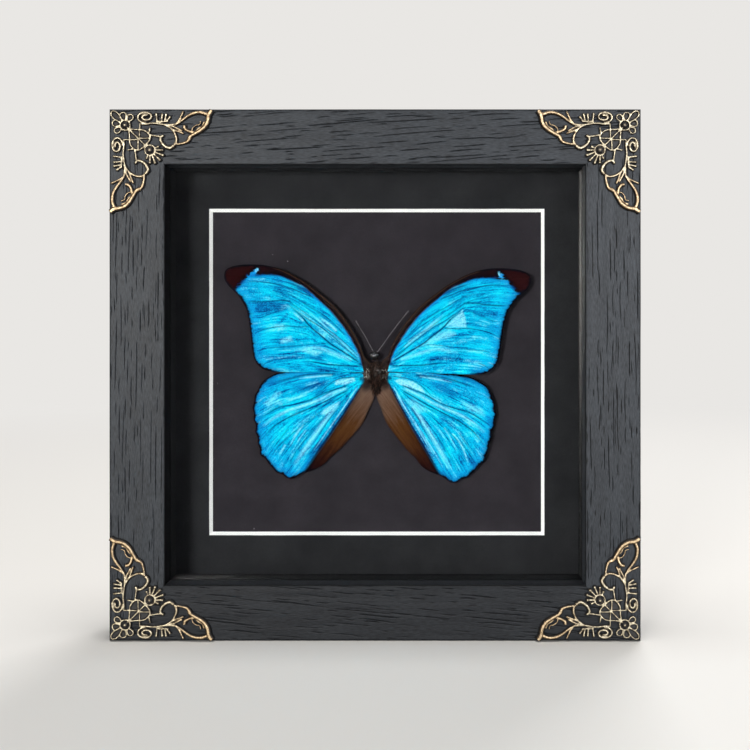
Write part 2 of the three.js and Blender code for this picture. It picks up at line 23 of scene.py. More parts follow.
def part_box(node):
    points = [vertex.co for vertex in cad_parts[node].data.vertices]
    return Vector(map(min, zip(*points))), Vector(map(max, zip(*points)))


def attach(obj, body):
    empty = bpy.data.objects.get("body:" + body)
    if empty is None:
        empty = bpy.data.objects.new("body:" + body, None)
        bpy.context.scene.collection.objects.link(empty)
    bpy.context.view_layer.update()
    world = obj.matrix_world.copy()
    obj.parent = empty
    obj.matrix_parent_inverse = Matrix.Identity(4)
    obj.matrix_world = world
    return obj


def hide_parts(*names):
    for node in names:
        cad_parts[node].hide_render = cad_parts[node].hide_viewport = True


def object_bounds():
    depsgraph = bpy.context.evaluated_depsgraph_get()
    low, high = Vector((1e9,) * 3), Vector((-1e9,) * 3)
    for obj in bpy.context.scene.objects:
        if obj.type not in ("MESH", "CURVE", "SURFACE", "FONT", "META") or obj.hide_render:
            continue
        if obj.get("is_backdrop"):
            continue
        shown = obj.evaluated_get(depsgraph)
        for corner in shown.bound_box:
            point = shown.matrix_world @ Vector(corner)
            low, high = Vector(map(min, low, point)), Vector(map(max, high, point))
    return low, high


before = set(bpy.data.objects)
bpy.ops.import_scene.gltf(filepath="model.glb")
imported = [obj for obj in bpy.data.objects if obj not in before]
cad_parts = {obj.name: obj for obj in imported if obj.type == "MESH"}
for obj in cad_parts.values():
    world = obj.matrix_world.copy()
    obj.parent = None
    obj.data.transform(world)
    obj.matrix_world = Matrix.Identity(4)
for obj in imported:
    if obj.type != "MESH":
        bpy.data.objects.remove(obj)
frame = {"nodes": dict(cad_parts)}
CAD_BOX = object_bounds()

MM = 0.001
ROOT = "root"
LOG = logging.getLogger("framed_butterfly")

Array = np.ndarray
Point = tuple[float, float]
Path = Sequence[Point]
AddNode = Callable[..., Node]


# ---- shared helpers ----
def linear(colour: str) -> tuple[float, float, float, float]:
    """Turns an sRGB colour into the linear values that shaders take.

    Args:
        colour: A hex colour such as "#0aa4e8".

    Returns:
        Linear red, green and blue, and an alpha of 1.
    """
    shares = [int(colour[i : i + 2], 16) / 255 for i in (1, 3, 5)]
    red, green, blue = (s / 12.92 if s <= 0.04045 else ((s + 0.055) / 1.055) ** 2.4 for s in shares)
    return red, green, blue, 1.0


def add_node(
    tree: NodeTree, kind: str, inputs: Mapping[str | int, Any] | None = None, **settings: Any
) -> Node:
    """Adds a node with its settings and links. A mix node mixes colours.

    Args:
        tree: The node tree that gets the node.
        kind: The node's type name. A shader node's goes without ShaderNode.
        inputs: Values, hex colours, nodes or output sockets for its inputs, by name or by number.
        **settings: Values for the node's own properties.

    Returns:
        The new node.
    """
    node = tree.nodes.new(kind if "Node" in kind else f"ShaderNode{kind}")
    if kind == "Mix":
        node.data_type = "RGBA"
    for name, value in settings.items():
        setattr(node, name, value)
    for key, value in (inputs or {}).items():
        named = isinstance(key, str)
        socket = next(s for s in node.inputs if s.enabled and s.name == key) if named else node.inputs[key]
        if isinstance(value, Node):
            value = next(s for s in value.outputs if s.enabled)
        if isinstance(value, NodeSocket):
            tree.links.new(value, socket)
        else:
            socket.default_value = linear(value) if isinstance(value, str) else value
    return node


def fresh(owner: Material | World) -> AddNode:
    """Empties the node tree of a material or a world, and returns what adds a node to it."""
    owner.use_nodes = True
    owner.node_tree.nodes.clear()
    return functools.partial(add_node, owner.node_tree)


def fill_ramp(ramp: Node, stops: Mapping[float, str]) -> None:
    """Gives a colour ramp its hex colours, each at its place."""
    elements = ramp.color_ramp.elements
    first, *between, last = stops.items()
    for element, (place, colour) in zip(elements, (first, last)):
        element.position, element.color = place, linear(colour)
    for place, colour in between:
        elements.new(place).color = linear(colour)


def value_noise(x: Array, y: Array, seed: int) -> Array:
    """Smooth random values that change over one unit of x and y.

    Args:
        x: First coordinate of each point.
        y: Second coordinate of each point.
        seed: Picks the pattern.

    Returns:
        A value from -1 to 1 for each point.
    """
    size = 256
    lattice = np.random.default_rng(seed).uniform(-1, 1, (size, size))
    column, row = np.floor(x).astype(int), np.floor(y).astype(int)
    fx, fy = x - column, y - row
    fx, fy = fx * fx * (3 - 2 * fx), fy * fy * (3 - 2 * fy)
    corner = [lattice[(column + i) % size, (row + j) % size] for i, j in ((0, 0), (1, 0), (0, 1), (1, 1))]
    low = corner[0] * (1 - fx) + corner[1] * fx
    high = corner[2] * (1 - fx) + corner[3] * fx
    return low * (1 - fy) + high * fy


def smoothstep(low: float, high: float, values: Array) -> Array:
    """Rises smoothly from 0 at low to 1 at high."""
    share = np.clip((values - low) / (high - low), 0, 1)
    return share * share * (3 - 2 * share)


def smooth_path(points: Path, spacing: float, closed: bool = False) -> Array:
    """Runs a Catmull-Rom curve through points.

    Args:
        points: The points to pass through.
        spacing: The distance between the points of the result.
        closed: Whether the curve goes back to its start.

    Returns:
        Evenly spread points, one row each.
    """
    knots = np.asarray(points, float)
    count, curve = len(knots), []
    for i in range(count if closed else count - 1):
        picks = [(i + k) % count if closed else min(max(i + k, 0), count - 1) for k in (-1, 0, 1, 2)]
        before, start, end, after = knots[picks]
        steps = max(2, math.ceil(float(np.linalg.norm(end - start)) / spacing))
        t = (np.arange(steps) / steps)[:, None]
        bend = (2 * before - 5 * start + 4 * end - after) * t**2
        bend += (3 * start - before - 3 * end + after) * t**3
        curve.append(0.5 * (2 * start + (end - before) * t + bend))
    if not closed:
        curve.append(knots[-1:])
    return np.concatenate(curve)


def path_distance(points: Array, path: Array) -> tuple[Array, Array, Array]:
    """Measures points against a line of segments.

    Args:
        points: The points to measure, one row each.
        path: The corners of the line.

    Returns:
        The distance to the line, the share of its length at the nearest place, and the side: positive to the
        left of its direction.
    """
    steps = np.diff(path, axis=0)
    lengths = np.linalg.norm(steps, axis=1)
    starts = np.concatenate([[0], np.cumsum(lengths)])
    best, share, side = np.full(len(points), np.inf), np.zeros(len(points)), np.zeros(len(points))
    for start, step, length, run in zip(path[:-1], steps, lengths, starts[:-1]):
        if length < 1e-9:
            continue
        offset = points - start
        along = np.clip(offset @ step / length**2, 0, 1)
        distance = np.linalg.norm(offset - along[:, None] * step, axis=1)
        nearer = distance < best
        best[nearer] = distance[nearer]
        share[nearer] = (run + along[nearer] * length) / starts[-1]
        side[nearer] = step[0] * offset[nearer, 1] - step[1] * offset[nearer, 0]
    return best, share, np.sign(side)


def inside(points: Array, outline: Array) -> Array:
    """Says which points lie inside a closed outline, by counting the edges to their right."""
    crossed = np.zeros(len(points), bool)
    for (x0, y0), (x1, y1) in zip(outline, np.roll(outline, -1, axis=0)):
        if y0 == y1:
            continue
        spans = (points[:, 1] > y0) != (points[:, 1] > y1)
        crossed ^= spans & (points[:, 0] < x0 + (points[:, 1] - y0) * (x1 - x0) / (y1 - y0))
    return crossed


def box_mm(node: str) -> tuple[Array, Array]:
    """The lowest and highest corner of a solid, in millimetres."""
    low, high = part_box(node)
    return np.array(low) / MM, np.array(high) / MM


def turned(points: Array, angle: float) -> Array:
    """Turns points about the Y axis by an angle in radians, as the solids' own groups do."""
    x, y, z = points.T
    sine, cosine = math.sin(angle), math.cos(angle)
    return np.stack([x * cosine + z * sine, y, z * cosine - x * sine], 1)


# ---- finishes ----
@dataclass(frozen=True)
class Finish:
    """A surface finish, made into a node material of its own name once."""

    name: str = "finish"

    def surface(self, add: AddNode, place: Any) -> dict[str, Any]:
        """Adds the finish's own nodes, on Object coordinates, and returns the inputs of its shader."""
        raise NotImplementedError

    def shader(self, add: AddNode, place: Any) -> Node:
        """Adds the shader that the finish ends in."""
        return add("BsdfPrincipled", self.surface(add, place))

    @functools.cache
    def material(self) -> Material:
        """The node material of this finish."""
        material = bpy.data.materials.new(self.name)
        add = fresh(material)
        place = add("TexCoord").outputs["Object"]
        add("OutputMaterial", {"Surface": self.shader(add, place)})
        return material


@dataclass(frozen=True)
class PaintedOak(Finish):
    """Oak under one coat of charcoal water paint: satin, with bare dark pores where the paint sank in."""

    name: str = "charcoal_painted_oak"
    paint: str = "#181a1e"
    worn: str = "#30353b"
    pore: str = "#060607"
    roughness: float = 0.46
    pore_roughness: float = 0.85
    gloss: float = 0.155
    uv_size: float = 300.0

    def surface(self, add: AddNode, place: Any) -> dict[str, Any]:
        """Mixes the finish and returns its shader's inputs."""
        surface = add("UVMap", uv_map="grain")
        grain = []
        # Brush marks are 0.35 mm wide and 3 mm long. Hair-thin closed pores lie between the open ones.
        for width, length, detail in ((0.35, 3, 3.0), (7, 30, 2.0), (0.24, 9, 1.0)):
            scale = (self.uv_size / width, self.uv_size / length, 1)
            laid = add("Mapping", {"Vector": surface, "Scale": scale})
            grain.append(add("TexNoise", {"Vector": laid, "Scale": 1.0, "Detail": detail}))
        fibre, cloud, hair = grain
        # Orange-peel of sprayed paint, about 0.5 mm across.
        peel = add("TexNoise", {"Vector": place, "Scale": 1 / (0.5 * MM), "Detail": 2.0})
        # The pore attribute also holds the painted shade along the rails' front arrises.
        pore = add("Attribute", attribute_name="pore").outputs["Fac"]
        fibre_tone = add("MapRange", {0: fibre, 1: 0.3, 2: 0.7, 3: -0.5, 4: 0.6})
        tone = add("Math", {0: cloud, 1: 1.0, 2: fibre_tone}, operation="MULTIPLY_ADD", use_clamp=True)
        coat = add("Mix", {"Factor": tone, "A": self.paint, "B": self.worn})
        closed = add("MapRange", {0: hair, 1: 0.33, 2: 0.28, 3: 0.0, 4: 0.6})
        sunk = add("Math", {0: pore, 1: closed}, operation="MAXIMUM")
        colour = add("Mix", {"Factor": sunk, "A": coat, "B": self.pore})
        rough = add("MapRange", {0: sunk, 3: self.roughness, 4: self.pore_roughness})
        grooves = add("Bump", {"Strength": 0.5, "Distance": 0.0001, "Height": fibre})
        bumps = add("Bump", {"Strength": 0.45, "Distance": 0.00008, "Height": peel, "Normal": grooves})
        paint = {"Base Color": colour, "Roughness": rough, "Normal": bumps, "IOR": 1.5}
        return paint | {"Specular IOR Level": self.gloss}


@dataclass(frozen=True)
class Board(Finish):
    """Paper-faced board: matt, with a fine tooth, faint clouds and, where asked, specks of settled dust."""

    name: str = "board"
    colour: str = "#2b2a2d"
    lighter: str = "#36353a"
    roughness: float = 0.85
    tooth: float = 0.35
    dust: float = 0.0
    dust_colour: str = "#8c8b90"

    def surface(self, add: AddNode, place: Any) -> dict[str, Any]:
        """Mixes the finish and returns its shader's inputs."""
        noise = {"Vector": place, "Detail": 3.0}
        fibre = add("TexNoise", noise | {"Scale": 1 / (self.tooth * MM), "Roughness": 0.65})
        cloud = add("TexNoise", noise | {"Scale": 1 / (14 * MM)})
        tone = add("Math", {0: fibre, 1: cloud}, operation="MULTIPLY")
        tone = add("MapRange", {0: tone, 1: 0.12, 2: 0.42, 3: 0.0, 4: 1.0})
        colour = add("Mix", {"Factor": tone, "A": self.colour, "B": self.lighter})
        if self.dust:
            # One speck in a 9 mm cell at most, each about 0.25 mm across.
            specks = add("TexVoronoi", {"Vector": place, "Scale": 1 / (9 * MM)}).outputs
            picked = add("SeparateColor", {"Color": specks["Color"]}).outputs["Red"]
            near = add("Math", {0: specks["Distance"], 1: 0.028}, operation="LESS_THAN")
            kept = add("Math", {0: picked, 1: self.dust}, operation="LESS_THAN")
            speck = add("Math", {0: near, 1: kept}, operation="MULTIPLY")
            colour = add("Mix", {"Factor": speck, "A": colour, "B": self.dust_colour})
        bump = add("Bump", {"Strength": 0.35, "Distance": 0.00006, "Height": fibre})
        paper = {"Base Color": colour, "Roughness": self.roughness, "Normal": bump, "IOR": 1.45}
        return paper | {"Specular IOR Level": 0.03}


@dataclass(frozen=True)
class Fibreboard(Finish):
    """Pressed hardboard: brown, felted, with pale and dark wood fibres 2 to 4 mm long."""

    name: str = "pressed_fibreboard"
    colour: str = "#8a6a47"
    pale: str = "#b08e66"
    dark: str = "#5c4027"

    def surface(self, add: AddNode, place: Any) -> dict[str, Any]:
        """Mixes the finish and returns its shader's inputs."""
        colour, layers = self.colour, []
        fibres = ((0.6, 7.0, 0.5, 0.72, self.pale), (-0.9, 6.0, 0.55, 0.75, self.dark))
        for turn, squeeze, low, high, tint in fibres:
            way = {"Vector": place, "Rotation": (0, turn, 0), "Scale": (squeeze, 1, 1)}
            laid = add("Mapping", way)
            layers.append(add("TexNoise", {"Vector": laid, "Scale": 1 / (3 * MM), "Detail": 4.0}))
            share = add("MapRange", {0: layers[-1], 1: low, 2: high})
            colour = add("Mix", {"Factor": share, "A": colour, "B": tint})
        bump = add("Bump", {"Strength": 0.4, "Distance": 0.0001, "Height": layers[0]})
        return {"Base Color": colour, "Roughness": 0.82, "Normal": bump, "IOR": 1.5}


@dataclass(frozen=True)
class RolledSteel(Finish):
    """Thin steel, stamped and zinc plated: dull bright metal with fine rolling lines and grey blooms."""

    name: str = "plated_steel"
    colour: str = "#a9acae"
    dull: str = "#76797b"
    roughness: float = 0.36

    def surface(self, add: AddNode, place: Any) -> dict[str, Any]:
        """Mixes the finish and returns its shader's inputs."""
        drawn = add("Mapping", {"Vector": place, "Scale": (1, 1, 12)})
        lines = add("TexNoise", {"Vector": drawn, "Scale": 1 / (2 * MM), "Detail": 3.0})
        bloom = add("TexNoise", {"Vector": place, "Scale": 1 / (2.5 * MM)})
        colour = add("Mix", {"Factor": bloom, "A": self.colour, "B": self.dull})
        rough = add("MapRange", {0: lines, 3: self.roughness - 0.1, 4: self.roughness + 0.15})
        bump = add("Bump", {"Strength": 0.2, "Distance": 0.00005, "Height": lines})
        return {"Base Color": colour, "Metallic": 1.0, "Roughness": rough, "Normal": bump}


@dataclass(frozen=True)
class AntiqueBrass(Finish):
    """Cast brass, darkened and rubbed back: brown-black in hollows, silvery on thin wires, golden on the rim.

    The piece's own attributes say how bright each place is, from rubbing and from painted highlight on crests
    and beads, and where it is golden. Each set of colours goes from the dark of the hollows to the bright
    crests.
    """

    name: str = "antique_brass"
    silvery: tuple[str, str, str] = ("#0a0705", "#50432f", "#cfc3a6")
    golden: tuple[str, str, str] = ("#0c0703", "#614a2e", "#ccb48e")

    def surface(self, add: AddNode, place: Any) -> dict[str, Any]:
        """Mixes the finish and returns its shader's inputs."""
        rub_and_highlight, gold = (add("Attribute", attribute_name=name).outputs["Fac"] for name in ("rub_and_highlight", "gold"))
        stain = add("TexNoise", {"Vector": place, "Scale": 1 / (1.1 * MM), "Detail": 3.0})
        grain = add("TexNoise", {"Vector": place, "Scale": 1 / (0.45 * MM), "Detail": 2.0})
        # The tone is rubbing and stains, with painted highlight on the crests and beads.
        rubbed = add("Math", {0: stain, 1: 0.8, 2: -0.4}, operation="MULTIPLY_ADD")
        rubbed = add("Math", {0: rubbed, 1: rub_and_highlight}, operation="ADD", use_clamp=True)
        tones = []
        for colours in (self.silvery, self.golden):
            tones.append(add("ValToRGB", {"Fac": rubbed}))
            fill_ramp(tones[-1], dict(zip((0.08, 0.5, 0.92), colours)))
        colour = add("Mix", {"Factor": gold, "A": tones[0], "B": tones[1]})
        rough = add("MapRange", {0: rubbed, 3: 0.65, 4: 0.4})
        metal = add("MapRange", {0: rubbed, 1: 0.05, 2: 0.6, 3: 0.2, 4: 0.55})
        bump = add("Bump", {"Strength": 0.35, "Distance": 0.00012, "Height": grain})
        return {"Base Color": colour, "Metallic": metal, "Roughness": rough, "Normal": bump}


@dataclass(frozen=True)
class PictureGlass(Finish):
    """Clear float glass, coated against glare: faint mirror images, and light passes to what it covers."""

    name: str = "picture_glass"
    tint: str = "#fcfefe"
    mirror: float = 0.25

    def shader(self, add: AddNode, place: Any) -> Node:
        """Adds the glass, which light passes without a shadow."""
        pane = {"Base Color": self.tint, "Roughness": 0.0, "IOR": 1.5, "Transmission Weight": 1.0}
        glass = add("BsdfPrincipled", pane | {"Specular IOR Level": self.mirror})
        clear = add("BsdfTransparent", {"Color": self.tint})
        ray = add("LightPath").outputs
        passes = add("Math", {0: ray["Is Shadow Ray"], 1: ray["Is Diffuse Ray"]}, operation="MAXIMUM")
        return add("MixShader", {0: passes, 1: glass, 2: clear})


@dataclass(frozen=True)
class WingScales(Finish):
    """Blue scales over a brown membrane: painted cyan where they caught the light, painted deep blue where
    they turned away.

    The piece's own attributes say where the veins, folds, painted highlights and borders are.
    """

    name: str = "blue_wing_scales"
    blues: tuple[str, ...] = ("#00245c", "#005c98", "#0089bf", "#00aedc", "#00cde8", "#18dff2")
    pale: str = "#96e0f4"
    vein: str = "#00245a"
    margin: str = "#0a7ed0"
    black: str = "#020208"
    maroon: str = "#220404"
    brown: str = "#4a2c14"
    grey_brown: str = "#6c574c"
    roughness: float = 0.5

    def blue(self, add: AddNode, place: Any, waves: Sequence[tuple[Any, float]]) -> Node:
        """Adds the colour of the blue field.

        Args:
            add: Adds a node to the material.
            place: Object coordinates.
            waves: What makes it lighter or darker, each with its amount.

        Returns:
            The node that gives the colour.
        """
        patch = add("TexNoise", {"Vector": place, "Scale": 1 / (9 * MM), "Detail": 2.0})
        light = add("MapRange", {0: patch, 1: 0.3, 2: 0.7, 3: 0.5, 4: 0.78})
        for wave, amount in waves:
            light = add("Math", {0: wave, 1: amount, 2: light}, operation="MULTIPLY_ADD")
        # The clumps' noise is around a half, so half of its share is taken off again.
        light = add("Math", {0: light, 1: 0.765}, operation="SUBTRACT", use_clamp=True)
        tone = add("ValToRGB", {"Fac": light})
        last = len(self.blues) - 1
        fill_ramp(tone, {step / last: colour for step, colour in enumerate(self.blues)})
        return tone

    def surface(self, add: AddNode, place: Any) -> dict[str, Any]:
        """Mixes the finish and returns its shader's inputs."""
        tone, rim, streak, ripe = (
            add("Attribute", attribute_name=name).outputs for name in ("tone", "rim", "streak", "ripe")
        )
        marks, border = (add("SeparateColor", {"Color": each["Color"]}).outputs for each in (tone, rim))
        # Single scales are 0.1 mm; clumps of them, about 0.5 mm across, are the finest thing that shows.
        clumps = {"Vector": place, "Scale": 1 / (0.5 * MM), "Detail": 3.0, "Roughness": 0.75}
        clump = add("TexNoise", clumps)
        # The pale mix, scaled by the clumps, is a painted highlight; streaks and the deep and pale marks paint
        # shade and highlight into the blue.
        worn = add("MapRange", {0: clump, 1: 0.35, 2: 0.65, 3: 0.45, 4: 1.4})
        waves = ((streak["Fac"], 0.26), (clump, 1.45), (marks["Red"], -0.4), (marks["Green"], 0.25))
        base = self.blue(add, place, waves)
        for mask, strength, colour in (
            (border["Blue"], 1.0, self.margin), (marks["Green"], worn, self.pale),
                (marks["Blue"], 1.0, self.vein)
        ):
            share = add("Math", {0: mask, 1: strength}, operation="MULTIPLY", use_clamp=True)
            base = add("Mix", {"Factor": share, "A": base, "B": colour})
        membrane = self.grey_brown
        for start, end, colour in ((0.0, 0.45, self.brown), (0.5, 0.95, self.maroon)):
            change = add("MapRange", {0: ripe["Fac"], 1: start, 2: end})
            membrane = add("Mix", {"Factor": change, "A": membrane, "B": colour})
        for mask, colour in ((border["Green"], membrane), (border["Red"], self.black)):
            base = add("Mix", {"Factor": mask, "A": base, "B": colour})
        bump = add("Bump", {"Strength": 0.5, "Distance": 0.00012, "Height": clump})
        scales = {"Base Color": base, "Roughness": self.roughness, "Normal": bump, "IOR": 1.5}
        return scales | {"Specular IOR Level": 0.01}


@dataclass(frozen=True)
class Chitin(Finish):
    """Insect skin or its hairs: dark brown, with a dull or glassy surface."""

    name: str = "insect_skin"
    colour: str = "#1c120b"
    lighter: str = "#4a3423"
    roughness: float = 0.5
    grain: float = 0.6
    gloss: float = 0.2

    def surface(self, add: AddNode, place: Any) -> dict[str, Any]:
        """Mixes the finish and returns its shader's inputs."""
        mottle = add("TexNoise", {"Vector": place, "Scale": 1 / (self.grain * MM), "Detail": 3.0})
        tone = add("MapRange", {0: mottle, 1: 0.35, 2: 0.7})
        colour = add("Mix", {"Factor": tone, "A": self.colour, "B": self.lighter})
        bump = add("Bump", {"Strength": 0.3, "Distance": 0.00005, "Height": mottle})
        skin = {"Base Color": colour, "Roughness": self.roughness, "Normal": bump, "IOR": 1.55}
        return skin | {"Specular IOR Level": self.gloss}


OAK = PaintedOak()
# A darker, less glossy copy of the painted oak: painted shade on the bottom rail.
SHADED_BOTTOM_OAK = PaintedOak(name="charcoal_painted_oak_thick_coat", paint="#151619", worn="#25282c", gloss=0.12)
MOUNT_PAPER = Board(name="black_mount_paper", colour="#1e1e20", lighter="#2b2b2d", dust=0.05)
MOUNT_CORE = Board(name="white_mount_core", colour="#f8f7f5", lighter="#fffefc", roughness=0.8, tooth=0.25)
SPACER_BOARD = Board(name="black_spacer_board", colour="#101011", lighter="#1a1a1b", roughness=0.9)
# A lighter copy of the black spacer board: painted light on the top spacer, which sits in shade.
TOP_SPACER_PAINTED_LIGHT = Board(name="painted_light_spacer_board", colour="#2c2c2e", lighter="#38383a", roughness=0.9)
DARK_CARD = Board(name="dark_backing_card", colour="#262327", lighter="#312d32", dust=0.3)
HARDBOARD = Fibreboard()
SPRING_STEEL = RolledSteel(name="spring_steel")
PLATED_STEEL = RolledSteel(name="zinc_plated_steel", colour="#b7b9b6", dull="#8d8f8a", roughness=0.3)
BRASS = AntiqueBrass()
GLASS = PictureGlass()
SCALES = WingScales()
UNDERSIDE = Chitin(name="brown_wing_underside", colour="#4a3320", lighter="#6e5238", roughness=0.7, grain=1.5)
BODY_SKIN = Chitin(name="dark_body_skin", colour="#0d0806", lighter="#1f140d")
BODY_HAIR = Chitin(name="dark_brown_hair", colour="#080403", lighter="#21130d", roughness=0.6, gloss=0.04)
BROWN_HAIR = Chitin(name="light_brown_hair", colour="#3c261d", lighter="#7f5948", roughness=0.5, gloss=0.1)
PALE_HAIR = Chitin(name="pale_tuft_hair", colour="#a39a90", lighter="#f0ece6", roughness=0.5, gloss=0.4)
EYE = Chitin(name="glassy_dark_eye", colour="#050303", lighter="#140b09", roughness=0.2, gloss=0.6)
FEELER = Chitin(name="grey_feeler", colour="#3f3b3e", lighter="#6e686c", roughness=0.45, gloss=0.15)


# ---- making pieces ----
def put(name: str, data: Any) -> Object:
    """Puts a new object in the scene, at the origin."""
    thing = bpy.data.objects.new(name, data)
    bpy.context.scene.collection.objects.link(thing)
    return thing


def rounds(rings: int, count: int, closed: bool = False) -> Array:
    """Faces between rings of points that follow each other in one list.

    Args:
        rings: How many rings there are.
        count: How many points each has.
        closed: Whether the last ring joins the first.

    Returns:
        The four corners of each face, one row each.
    """
    ring = np.arange(count)
    after = np.roll(ring, -1)
    starts = np.arange(rings if closed else rings - 1)[:, None] * count
    ends = (starts + count) % (rings * count)
    return np.stack([ring + starts, ring + ends, after + ends, after + starts], 2).reshape(-1, 4)


def mesh_of(points: Array, faces: Iterable[Sequence[int]]) -> Mesh:
    """A mesh in metres, from millimetre points and the corners of each face."""
    mesh = bpy.data.meshes.new("mesh")
    mesh.from_pydata((points * MM).tolist(), [], [tuple(face) for face in faces])
    return mesh


def finished(name: str, mesh: Mesh, finishes: Sequence[Finish], sharp: float, scale: float = 1.0) -> Object:
    """Turns a closed mesh's faces out, shades it smooth up to an angle, and makes it a piece.

    Args:
        name: The piece's name.
        mesh: The finished mesh.
        finishes: The materials, in slot order.
        sharp: Edges that turn by more than this many degrees stay sharp.
        scale: Metres for one unit of the mesh.

    Returns:
        The new object, at the origin.
    """
    shell = bmesh.new()
    shell.from_mesh(mesh)
    bmesh.ops.recalc_face_normals(shell, faces=shell.faces)
    shell.to_mesh(mesh)
    shell.free()
    mesh.transform(Matrix.Scale(scale, 4))
    mesh.name = name
    mesh.materials.clear()
    for finish in finishes:
        mesh.materials.append(finish.material())
    mesh.shade_smooth()
    mesh.set_sharp_from_angle(angle=math.radians(sharp))
    return put(name, mesh)


def store(piece: Object, name: str, values: Array) -> None:
    """Keeps a number or a colour for each corner point of a piece, for its material to read."""
    kind, key = ("FLOAT", "value") if values.ndim == 1 else ("FLOAT_COLOR", "color")
    attribute = piece.data.attributes.new(name, kind, "POINT")
    attribute.data.foreach_set(key, values.astype(np.float32).ravel())


def pick_slots(piece: Object, slots: Array) -> None:
    """Gives each face of a piece the number of its material."""
    piece.data.polygons.foreach_set("material_index", slots.astype(np.int32))


def settle(piece: Object, slot: str, *nodes: str) -> Object:
    """Fixes a piece to the frame.

    Args:
        piece: The piece to fix.
        slot: Not used.
        *nodes: The solids that it stands for.

    Returns:
        The same piece.
    """
    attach(piece, ROOT)
    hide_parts(*nodes)
    LOG.info("%s: %d faces", piece.name, len(piece.data.polygons))
    return piece


def dress(node: str, finish: Finish) -> None:
    """Gives a solid that stays in view its material."""
    solid = frame["nodes"][node]
    solid.data.materials.clear()
    solid.data.materials.append(finish.material())
    LOG.info("%s: %s", node, finish.name)


class Socket(Enum):
    """The kinds of named input that the node trees take."""

    SHAPE = "NodeSocketGeometry"
    SIZE = "NodeSocketFloat"
    COUNT = "NodeSocketInt"
    DIRECTION = "NodeSocketVector"
    MATERIAL = "NodeSocketMaterial"


def plain(source: Object) -> Mesh:
    """The plain mesh that an object's modifiers make of it. The object is deleted."""
    graph = bpy.context.evaluated_depsgraph_get()
    graph.update()
    mesh = bpy.data.meshes.new_from_object(source.evaluated_get(graph), depsgraph=graph)
    source.modifiers.clear()
    bpy.data.objects.remove(source)
    return mesh


def grow(name: str, data: Any, tree: NodeTree, finish: Finish, values: Mapping[str, Any]) -> Mesh:
    """Runs a geometry node tree and keeps the result as a plain mesh.

    Args:
        name: The new mesh's name.
        data: The curve or mesh that the tree starts from.
        tree: The node tree.
        finish: The material that the tree sets.
        values: Its other inputs, by their names.

    Returns:
        The plain mesh.
    """
    source = put(f"{name}_source", data)
    modifier = source.modifiers.new(tree.name, "NODES")
    modifier.node_group = tree
    sockets = {item.name: item.identifier for item in tree.interface.items_tree if item.in_out == "INPUT"}
    for key, value in {**values, "Material": finish.material()}.items():
        modifier[sockets[key]] = value
    mesh = plain(source)
    mesh.name = name
    return mesh


def tree_with(name: str, inputs: Mapping[str, Socket]) -> tuple[NodeTree, AddNode, Any]:
    """Starts a geometry node tree that takes a geometry, named inputs and a material.

    Args:
        name: The tree's name.
        inputs: The kind of each named input.

    Returns:
        The tree, what adds a node to it, and the sockets that bring its inputs.
    """
    tree = bpy.data.node_groups.new(name, "GeometryNodeTree")
    shape = {"Geometry": Socket.SHAPE}
    for way, kinds in (("INPUT", {**shape, **inputs, "Material": Socket.MATERIAL}), ("OUTPUT", shape)):
        for key, kind in kinds.items():
            tree.interface.new_socket(key, in_out=way, socket_type=kind.value)
    add = functools.partial(add_node, tree)
    return tree, add, add("NodeGroupInput").outputs


def end_tree(add: AddNode, take: Any, geometry: Node) -> None:
    """Realizes the instances of a tree, sets its material and joins it to the output."""
    real = add("GeometryNodeRealizeInstances", {"Geometry": geometry})
    dressed = add("GeometryNodeSetMaterial", {"Geometry": real, "Material": take["Material"]})
    add("NodeGroupOutput", {0: dressed})


@functools.cache
def rod_tree() -> NodeTree:
    """The node tree that gives drawn lines a round section of their own radius, stretched in height."""
    tree, add, take = tree_with("rods", {"Section Sides": Socket.COUNT, "Height": Socket.SIZE})
    section = add("GeometryNodeCurvePrimitiveCircle", {"Resolution": take["Section Sides"], "Radius": 1.0})
    sizes = {"Profile Curve": section, "Scale": add("GeometryNodeInputRadius"), "Fill Caps": True}
    rod = add("GeometryNodeCurveToMesh", {"Curve": take["Geometry"]} | sizes)
    stretch = add("CombineXYZ", {"X": 1.0, "Y": 1.0, "Z": take["Height"]})
    end_tree(add, take, add("GeometryNodeTransform", {"Geometry": rod, "Scale": stretch}))
    return tree


def rods(
    name: str, lines: Iterable[tuple[Array, Array]], finish: Finish, height: float = 1.0, sides: int = 10
) -> Mesh:
    """Turns drawn lines into round rods.

    Args:
        name: The mesh's name.
        lines: The points of each line, and its radius at each.
        finish: The material.
        height: How far the rods are stretched in height.
        sides: Sides of their section.

    Returns:
        One mesh, in the unit of the points.
    """
    curve = bpy.data.curves.new(name, "CURVE")
    curve.dimensions = "3D"
    for points, radii in lines:
        run = curve.splines.new("POLY").points
        run.add(len(points) - 1)
        run.foreach_set("co", np.column_stack([points, np.ones(len(points))]).astype(np.float32).ravel())
        run.foreach_set("radius", radii.astype(np.float32))
    return grow(name, curve, rod_tree(), finish, {"Section Sides": sides, "Height": height})


# ---- frame ----
class Side(Enum):
    """The sides of the square, by the quarter turns that bring a bottom rail there."""

    BOTTOM = 0
    RIGHT = 1
    TOP = 2
    LEFT = 3


@dataclass
class BoxFrame:
    """Sizes that the pieces share, read from the solids."""

    mitre_gap: float = 0.02
    lip: float = 9.8
    rebate: float = 6.0

    def __post_init__(self) -> None:
        """Measures the solids: the square, the rails' width and depth, and the places of face and middle."""
        low, high = box_mm("bottom_rail")
        self.face, self.depth, self.rail_width = low[1], high[1] - low[1], high[2] - low[2]
        self.outer = box_mm("right_rail")[1][0] - box_mm("left_rail")[0][0]
        self.middle = (low[2] + box_mm("top_rail")[1][2]) / 2


@dataclass(frozen=True)
class Pore:
    """A long open pore: its middle across and along the rail, its size, and how it lies."""

    across: float
    along: float
    length: float
    half_width: float
    slope: float
    bend: float
    depth: float


